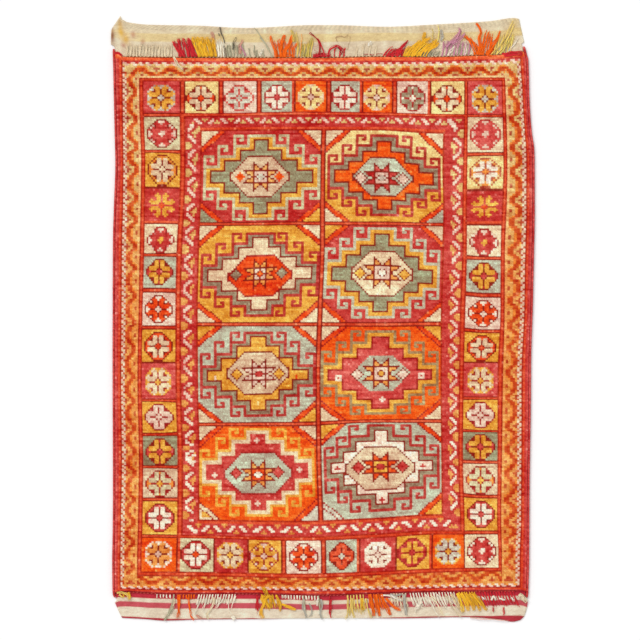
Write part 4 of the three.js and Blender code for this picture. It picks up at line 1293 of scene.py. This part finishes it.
def cloth(chart, own, material):
    """The woven foundation in one piece with both flat-woven ends; knot backs show underneath."""
    s = np.linspace(0, 1, CLOTH_COLUMNS + 1)
    xs, ys, zs, tops = [], [], [], []
    for side, t in cloth_rows():
        x = -HALF_WIDE + 2 * HALF_WIDE * s
        for _ in range(4):
            low = pile_line(-1, x)
            high = pile_line(1, x)
            if side == 0:
                y = low + (high - low) * t
                away = np.full_like(x, -1.0)
            else:
                near = pile_line(side, x)
                y = near + (rim_line(side, x) - near) * t
                away = np.abs(y - near)
            notch = np.clip((NOTCH_END - away) / (NOTCH_END - NOTCH_START), 0, 1)
            inset = notch * (SELVEDGE_WIDTH + SELVEDGE_GAP)
            x = (left_side(y) + inset) * (1 - s) + (right_side(y) - inset) * s
        z = np.full_like(x, MIDDLE_Z if side == 0 else KILIM_Z)
        colour = np.tile(to_linear(WARP), (len(x), 1))
        if side != 0:
            length = np.abs(rim_line(side, x) - near)
            z += np.where(length - away < HEM_LONG, HEM_Z - KILIM_Z, 0)
            z -= np.clip(1 - (length - away) / RIM_ROUND, 0, 1) * RIM_DROP
            ripple = np.clip((away - 6) / 20, 0, 1)
            z += 0.5 * ripple * value_noise(x, y, 30, 21) + 0.18 * value_noise(x, y, 5, 22)
            stripes = TOP_STRIPES if side > 0 else BOTTOM_STRIPES
            colour = stripe_colour(stripes, away + 0.9 * value_noise(x, y, 24, 23))
            if side > 0:
                # Stains, and on the curled left edge a dark brown that is partly painted shadow of the curl
                colour = stain_and_shade(colour, x, away)
                # Painted light and shade of the hem's ribs: the colour turns lighter and darker across each
                # rib
                hem_rib_painted_shade = 0.10 * np.sin(x * 2 * math.pi / HEM_RIB) * (length - away < 13)
                colour = colour * np.exp(hem_rib_painted_shade)[:, None]
            tone = 0.08 * value_noise(x, y / 3, 16, 24) + 0.07 * value_noise(x / 2, y, 4, 25)
            tone = tone + rng.normal(0, 0.035, x.shape)
            colour = colour * np.exp(tone[:, None] * (1, 1.4, 1.6))
        if side > 0:
            along_edge = np.exp(-(((y - CURL_AT) / CURL_LONG) ** 4))
            z += CURL_Z * along_edge * np.exp(-(((x - left_side(y) - CURL_IN) / CURL_WIDE) ** 2))
        z[0] -= RIM_DROP
        z[-1] -= RIM_DROP
        xs.append(x)
        ys.append(y)
        zs.append(np.maximum(z, LOWEST_Z))
        tops.append(colour)
    x, y, z = np.array(xs), np.array(ys), np.array(zs)
    light = np.clip(np.array(tops), 0, 1)
    rows, across = x.shape
    n = rows * across
    top = np.stack([x, y, z], axis=-1).reshape(-1, 3)
    under = np.stack([x, y, np.full_like(x, UNDERSIDE_Z)], axis=-1).reshape(-1, 3)
    r, c = np.meshgrid(np.arange(rows - 1), np.arange(across - 1), indexing="ij")
    a = (r * across + c).reshape(-1)
    up = np.stack([a, a + 1, a + across + 1, a + across], axis=-1)
    down = n + up[:, ::-1]
    rim = list(range(0, across - 1)) + list(range(across - 1, n - 1, across))
    rim += list(range(n - 1, n - across, -1)) + list(range(n - across, 0, -across))
    rim = np.array(rim)
    walls = np.stack([rim, rim + n, np.roll(rim, -1) + n, np.roll(rim, -1)], axis=-1)
    back = light.copy()
    inside = [i for i, (side, t) in enumerate(cloth_rows()) if side == 0]
    for k, i in enumerate(inside):
        row = int((1 - (k + 1) / (len(inside) + 1)) * ROWS)
        col = np.clip((s * COLS).astype(int), 0, COLS - 1)
        back[i] = own[row, col] * 0.9
    light = light.reshape(-1, 3)
    back = back.reshape(-1, 3)
    points = np.concatenate([top, under])
    quads = np.concatenate([up, down, walls])
    both = np.concatenate([light, back])
    flat = spread_uv(points[:, :2])
    uvs = flat[quads.ravel()]
    uvs[:, 1] = uvs[:, 1] * 0.49
    uvs[up.size:, 1] += 0.5
    return build("rug_cloth", points, (quads, []), both[quads.ravel()], uvs, material, smooth=True)


def tube(rings, colours):
    """Points, quads, caps, loop colours and places in the texture of one tube through the rings."""
    count, sides, _ = rings.shape
    points = rings.reshape(-1, 3)
    r, k = np.meshgrid(np.arange(count - 1), np.arange(sides), indexing="ij")
    a = (r * sides + k).ravel()
    b = (r * sides + (k + 1) % sides).ravel()
    quads = np.stack([a, b, b + sides, a + sides], axis=-1)
    shade = colours.reshape(-1, 3)[quads.ravel()]
    caps = [np.arange(sides)[::-1], (count - 1) * sides + np.arange(sides)]
    cap_shade = [colours[0][::-1], colours[-1]]
    u = np.stack([k, k + 1, k + 1, k], axis=-1).ravel() / sides
    v = np.stack([r, r, r + 1, r + 1], axis=-1).ravel() / (count - 1)
    uvs = np.stack([v, u], axis=-1)
    cap_uvs = np.zeros((2 * sides, 2))
    return points, quads, caps, shade, cap_shade, uvs, cap_uvs


def join_tubes(name, tubes, material):
    """Many tubes as one mesh, each with its own lane of the texture."""
    points, quads, caps, shade, cap_shade, uvs, cap_uvs = [], [], [], [], [], [], []
    first = 0
    lanes = len(tubes)
    for lane, (p, q, ends, s, cs, w, cw) in enumerate(tubes):
        points.append(p)
        quads.append(q + first)
        caps += [e + first for e in ends]
        shade.append(s)
        cap_shade += list(cs)
        uvs.append(np.stack([w[:, 0], (lane + 0.05 + 0.9 * w[:, 1]) / lanes], axis=-1))
        cap_uvs.append(cw + [0, (lane + 0.05) / lanes])
        first += len(p)
    colours = np.concatenate(shade + cap_shade)
    return build(name, np.concatenate(points), (np.concatenate(quads), caps), colours,
                 np.concatenate(uvs + cap_uvs), material, smooth=True)


def selvedge(name, side, material):
    """The long edge's warps, wrapped round and round with wool."""
    edge = left_side if side < 0 else right_side
    end = side * HALF_WIDE
    low = float(pile_line(-1, end)) - SELVEDGE_PAST_PILE
    high = float(pile_line(1, end)) + SELVEDGE_PAST_PILE
    y = np.arange(low, high, WRAP_PITCH / 3.4)
    angle = np.arange(WRAP_SIDES) * 2 * math.pi / WRAP_SIDES
    inner = edge(y) - side * (SELVEDGE_WIDTH + SELVEDGE_GAP) + side * SELVEDGE_GAP
    turn = y[:, None] / WRAP_PITCH + 0.18 * np.cos(angle)[None, :]
    swell = np.abs(np.sin(math.pi * turn)) ** 0.7
    number = np.floor(turn).astype(int)
    number -= number.min()
    own = np.random.default_rng(31 + side).normal(0, 1, number.max() + 1)[number]
    taper = np.clip(np.minimum(y - low, high - y) / 7, 0.0, 1)[:, None] * 0.35 + 0.65
    wander = 0.25 * value_noise(y, y * 0, 19, 33)[:, None]
    half = SELVEDGE_WIDTH / 2 * taper * (0.91 + 0.09 * swell)
    tall = SELVEDGE_HEIGHT / 2 * taper * (0.90 + 0.08 * swell + 0.02 * own)
    x = inner[:, None] + side * SELVEDGE_WIDTH / 2 + half * np.cos(angle) + wander * 0.3
    z = np.maximum(tall * np.sin(angle) + tall, 0.15)
    rings = np.stack([x, np.repeat(y[:, None], WRAP_SIDES, axis=1), z], axis=-1)
    rose, crimson, mauve = to_linear(WRAP_COLOURS)
    share = 0.5 + 0.5 * value_noise(y, y * 0, 26, 34)[:, None]
    share = np.clip(share + 0.22 * own, 0, 1)[..., None]
    # Painted shade: the wrapping's outward flank turns to the darker mauve
    outward = np.clip(side * np.cos(angle) * 0.9 - 0.2, 0, 1)[None, :, None]
    colours = rose * share + crimson * (1 - share)
    colours = colours * (1 - outward) + mauve * outward
    # Painted shade: darker in the grooves between the wraps, down to 0.72 of the wool's colour
    colours = colours * (0.72 + 0.3 * swell[..., None]) * np.exp(0.08 * own)[..., None]
    return join_tubes(name, [tube(rings[:, ::-1], np.clip(colours[:, ::-1], 0, 1))], material)


def strand(path, radius, colour, twist=0.0):
    """A tube along a path of millimetre points, with a radius for each."""
    path = np.asarray(path)
    ahead = np.gradient(path, axis=0)
    ahead /= np.linalg.norm(ahead, axis=1, keepdims=True)
    across = np.cross(ahead, (0, 0, 1.0))
    across /= np.maximum(np.linalg.norm(across, axis=1, keepdims=True), 1e-6)
    upward = np.cross(across, ahead)
    angle = np.arange(STRAND_SIDES)[None, :] * 2 * math.pi / STRAND_SIDES
    angle = angle + np.arange(len(path))[:, None] * twist
    ring = (across[:, None] * np.cos(angle)[..., None] + upward[:, None] * np.sin(angle)[..., None])
    rings = path[:, None] + ring * np.asarray(radius)[:, None, None]
    # Painted shade: each yarn darker on its underside, down to 0.72 of its colour
    shade = 0.86 + 0.14 * np.sin(angle)
    light = np.broadcast_to(np.atleast_2d(colour), (len(path), 3))
    colours = light[:, None, :] * shade[..., None]
    return tube(rings[:, ::-1], np.clip(colours[:, ::-1], 0, 1))


def lock_strands(group, index, outward):
    """The loose yarns of one lock, which follow the frame's lock and part towards its tip."""
    pitch = (group["to"] - group["from"]) / group["count"]
    seed = group["from"] * 0.37 + index * 2.11
    root = group["from"] + pitch * (index + 0.5 + 0.05 * uneven(seed))
    reach = group["reach"] * (0.9 + 0.13 * uneven(seed + 5))
    base = LOCK_BASE + group["layer"] * LAYER_RISE
    wide = 3.6 if group["count"] == 1 else min(LOCK_WIDTH, pitch * 0.62)
    start = float(pile_line(outward, root)) + outward * (STRIP_GAP + STRIP_WIDTH * 0.5)
    colour = to_linear(LOCK_COLOURS[group["colour"]])
    made = []
    for k in range(STRANDS):
        u = np.linspace(0, 1, STRAND_STEPS)
        own_reach = reach * rng.uniform(0.78, 1.02)
        out = own_reach * u
        sway = np.sin(out / 11 + group["from"]) * pitch * 0.1 * u
        place = (k - (STRANDS - 1) / 2) / (STRANDS - 1)
        phase = rng.uniform(0, 6.28)
        wave = rng.uniform(0.3, 1.3) * np.sin(out / rng.uniform(4, 9) + phase) * u
        x = root + group["lean"] * (out / group["reach"]) ** 1.4 + sway
        x = x + wide * 0.62 * place * (1 + 0.9 * u) * np.cos(out / 16 + phase * 0.3) + wave
        y = start + outward * out
        radius = (0.92 + 0.3 * rng.random()) * (1 - 0.5 * u ** 2)
        z = base + 0.75 + 0.65 * np.abs(np.sin(out / 9 + phase + k)) * (1 - 0.5 * u)
        z = z - np.clip(u - 0.5, 0, 1) * (base - LOCK_BASE) * 1.2
        tone = rng.normal(0, 0.1)
        shade = colour * np.exp(tone) * np.exp(0.10 * np.sin(out / 3 + phase))[:, None]
        made.append(strand(np.stack([x, y, z], axis=-1), radius, shade, twist=YARN_TWIST))
    return made


def from_photo(path, outward):
    """A path's places in whole millimetres: x, distance out from the pile and width."""
    places = []
    for across, down, wide in path:
        x = (across - PHOTO_MIDDLE[0]) * PIXEL
        out = ((PHOTO_MIDDLE[1] - down) * PIXEL - float(pile_line(outward, x))) * outward
        out = max(round(out), SEAM_OUT) if out > -SEAM_INSIDE else round(out)
        places.append((round(x), out, round(round(wide * PIXEL * WIDTH_SHARE, 1))))
    return places


def bunch(name, layer, yarns, thick, path, outward):
    """Yarns side by side along one path, lying on the flat weave or, where it runs in, on the pile."""
    xs, outs, widths = zip(*from_photo(path, outward))
    t = np.linspace(0, 1, len(xs))
    u = np.linspace(0, 1, STRAND_STEPS)
    x, out, wide = curve(t, xs, u), curve(t, outs, u), curve(t, widths, u)
    y = pile_line(outward, x) + outward * out
    along = np.gradient(x), np.gradient(y)
    length = np.hypot(*along)
    colour = to_linear(LOCK_COLOURS[name])
    made = []
    yarns += 2 if yarns > 2 else 0
    for k in range(yarns):
        place = (k + 0.5) / yarns - 0.5 + rng.uniform(-0.06, 0.06)
        phase = rng.uniform(0, 6.28)
        wave = rng.uniform(0.4, 1.2) * np.sin(u * rng.uniform(6, 15) + phase) * np.minimum(1, 4 * u)
        side = wide * place + wave
        z = LOCK_BASE + 0.9 + LAYER_RISE * layer * np.clip(1 - out / 90, 0.2, 1)
        z = z + 0.7 * np.abs(np.sin(u * 7 + phase))
        z = z + (PILE_TOP_Z + 1.0 - z) * np.clip((2 - out) / 2, 0, 1)
        radius = thick * (0.72 if yarns > 4 else 0.95) * rng.uniform(0.8, 1.15) * (1 - 0.45 * u ** 4)
        shade = colour * np.exp(rng.normal(0, 0.16) + 0.12 * np.sin(u * 23 + phase))[:, None]
        points = np.stack([x - side * along[1] / length, y + side * along[0] / length, z], axis=-1)
        made.append(strand(points, radius, shade, twist=YARN_TWIST))
    return made


def twined_row(outward, first, last, colours):
    """The row of twining between pile and flat weave: short slanting stitches side by side."""
    made = []
    x = first
    k = 0
    while x < last - 5:
        y = float(pile_line(outward, x)) + outward * (STRIP_GAP + STRIP_WIDTH / 2)
        ahead = float(pile_line(outward, x + 5)) + outward * (STRIP_GAP + STRIP_WIDTH / 2)
        u = np.linspace(0, 1, 5)
        rise = 3.9 + 1.5 * np.sin(math.pi * u)
        path = np.stack([x + 6.4 * u, y + (ahead - y) * u + 0.8 * (u - 0.5), rise], axis=-1)
        colour = to_linear(colours[k % len(colours)]) * math.exp(rng.normal(0, 0.08))
        made.append(strand(path, 1.25 - 0.45 * np.abs(2 * u - 1), colour))
        x += 4.6
        k += 1
    return made


def locks(name, groups, bunches, outward, first, last, colours, material):
    made = twined_row(outward, first, last, colours)
    for row in groups:
        group = dict(zip(LOCK, row))
        for index in range(group["count"]):
            made += lock_strands(group, index, outward)
    for colour, layer, rows in bunches:
        for yarns, thick, *path in rows:
            made += bunch(colour, layer, yarns, thick, path, outward)
    return join_tubes(name, made, material)


def set_inputs(made, inputs):
    for key, value in inputs.items():
        made.inputs[key].default_value = value


def node(tree, kind, inputs=None, **values):
    made = tree.nodes.new(kind)
    for key, value in values.items():
        setattr(made, key, value)
    set_inputs(made, inputs or {})
    return made


def wool(name, rough, sheen, fibre, depth, weave=0.0):
    """Matt wool: the colour of the wool, a fine speckle, and fibres or a weave as bump."""
    material = bpy.data.materials.new(name)
    material.use_nodes = True
    tree = material.node_tree
    link = tree.links.new
    shader = tree.nodes["Principled BSDF"]
    set_inputs(shader, {"Roughness": rough, "Sheen Weight": sheen, "Sheen Roughness": 0.45})
    set_inputs(shader, {"Specular IOR Level": 0.12})
    colour = node(tree, "ShaderNodeAttribute", attribute_name="wool")
    place = node(tree, "ShaderNodeNewGeometry").outputs["Position"]
    speckle = node(tree, "ShaderNodeTexNoise", {"Scale": fibre, "Detail": 4, "Roughness": 0.7})
    link(place, speckle.inputs["Vector"])
    tone = node(tree, "ShaderNodeMapRange",
                {"From Min": 0.3, "From Max": 0.7, "To Min": 0.8, "To Max": 1.16})
    link(speckle.outputs["Fac"], tone.inputs["Value"])
    mixed = node(tree, "ShaderNodeVectorMath", operation="SCALE")
    link(colour.outputs["Color"], mixed.inputs[0])
    link(tone.outputs["Result"], mixed.inputs["Scale"])
    link(mixed.outputs["Vector"], shader.inputs["Base Color"])
    height = speckle.outputs["Fac"]
    if weave:
        warp = node(tree, "ShaderNodeTexWave", {"Scale": weave, "Distortion": 1.2, "Detail": 2},
                    wave_type="BANDS", bands_direction="X")
        weft = node(tree, "ShaderNodeTexWave", {"Scale": weave * 2.2, "Distortion": 1.5},
                    wave_type="BANDS", bands_direction="Y")
        both = node(tree, "ShaderNodeMath", {1: 0.7}, operation="MULTIPLY_ADD")
        link(place, warp.inputs["Vector"])
        link(place, weft.inputs["Vector"])
        link(weft.outputs["Fac"], both.inputs[0])
        link(warp.outputs["Fac"], both.inputs[2])
        height = both.outputs["Value"]
    bump = node(tree, "ShaderNodeBump", {"Strength": 0.9, "Distance": depth})
    link(height, bump.inputs["Height"])
    link(bump.outputs["Normal"], shader.inputs["Normal"])
    return material


def put_in(name, data):
    made = bpy.data.objects.new(name, data)
    bpy.context.scene.collection.objects.link(made)
    return made


def floor():
    mesh = bpy.data.meshes.new("floor")
    half = FLOOR_HALF
    corners = [(-half, -half, 0), (half, -half, 0), (half, half, 0), (-half, half, 0)]
    mesh.from_pydata(corners, [], [(0, 1, 2, 3)])
    made = put_in("floor", mesh)
    made.location.z = FLOOR_Z
    material = bpy.data.materials.new("floor")
    material.use_nodes = True
    set_inputs(material.node_tree.nodes["Principled BSDF"],
               {"Base Color": FLOOR_COLOUR, "Roughness": 0.9, "Specular IOR Level": 0.0})
    mesh.materials.append(material)


def camera_and_light():
    scene = bpy.context.scene
    data = bpy.data.cameras.new("camera")
    scene.camera = put_in("camera", data)
    data.lens = SENSOR_WIDE * CAMERA_HEIGHT / VIEW_WIDE
    data.sensor_width = SENSOR_WIDE
    data.clip_end = 100
    scene.camera.location = (VIEW_MIDDLE[0], VIEW_MIDDLE[1], CAMERA_HEIGHT)
    light = bpy.data.lights.new("sun", "SUN")
    light.energy = SUN
    light.angle = math.radians(SUN_SPREAD)
    put_in("sun", light).rotation_euler = [math.radians(turn) for turn in SUN_TURNS]
    scene.world = bpy.data.worlds.new("world")
    scene.world.use_nodes = True
    set_inputs(scene.world.node_tree.nodes["Background"], {"Color": (1, 1, 1, 1), "Strength": SKY})
    scene.view_settings.view_transform = "Standard"
    scene.view_settings.look = "None"


# The floor, camera and light, in metres and degrees
FLOOR_HALF = 6.0
FLOOR_Z = -0.0002
FLOOR_COLOUR = (0.98, 0.98, 0.98, 1)
SENSOR_WIDE = 36
CAMERA_HEIGHT = 8.0
VIEW_WIDE = 1.616
VIEW_MIDDLE = (-0.0072, -0.0032)
SUN = 1.4
SUN_SPREAD = 25
SUN_TURNS = (-38, -34, 0)
SKY = 0.75

# The three pile pieces as first and last row, and the colours of the twined rows
BANDS = (("pile_cream_end", 0, 94), ("pile_middle", 94, 189), ("pile_striped_end", 189, ROWS))
TOP_TWINE = ((222, 196, 150), (150, 92, 60))
BOTTOM_TWINE = ((214, 90, 80), (186, 40, 44))

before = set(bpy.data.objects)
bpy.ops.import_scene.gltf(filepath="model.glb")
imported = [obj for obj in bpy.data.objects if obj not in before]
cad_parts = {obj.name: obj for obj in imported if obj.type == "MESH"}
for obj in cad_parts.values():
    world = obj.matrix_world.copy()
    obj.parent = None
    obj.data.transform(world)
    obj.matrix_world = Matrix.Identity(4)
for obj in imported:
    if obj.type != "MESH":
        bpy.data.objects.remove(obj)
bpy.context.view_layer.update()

chart = draw_chart()
knot_x, knot_y = knot_grid(np.arange(ROWS) + 0.5, np.arange(COLS) + 0.5)
own = knot_colours(chart, knot_x, knot_y)
x, y, z = pile_grid(chart)

pile_wool = wool("pile_wool", 0.95, 0.12, 420, 0.0014)
flat_wool = wool("flat_wool", 0.95, 0.05, 700, 0.0004, weave=200)
wrap_wool = wool("wrap_wool", 0.95, 0.0, 1000, 0.0005)
lock_wool = wool("lock_wool", 0.9, 0.05, 1600, 0.0003)

bands = [pile_band(name, x, y, z, own, first, last, pile_wool) for name, first, last in BANDS]
base = cloth(chart, own, flat_wool)
left = selvedge("left_wrapping", -1, wrap_wool)
right = selvedge("right_wrapping", 1, wrap_wool)
top = locks("cream_end_locks", TOP_LOCKS, TOP_BUNCHES, 1, -500, 482, TOP_TWINE, lock_wool)
bottom = locks("striped_end_locks", BOTTOM_LOCKS, BOTTOM_BUNCHES, -1, -518, 488, BOTTOM_TWINE, lock_wool)

for piece in bands + [base]:
    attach(piece, "root")
    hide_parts("rug")
for piece, name in ((left, "left_selvedge"), (right, "right_selvedge")):
    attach(piece, "root")
    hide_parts(name)
for piece, name in ((top, "top_locks"), (bottom, "bottom_locks")):
    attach(piece, "root")
    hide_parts(name)

floor()
camera_and_light()
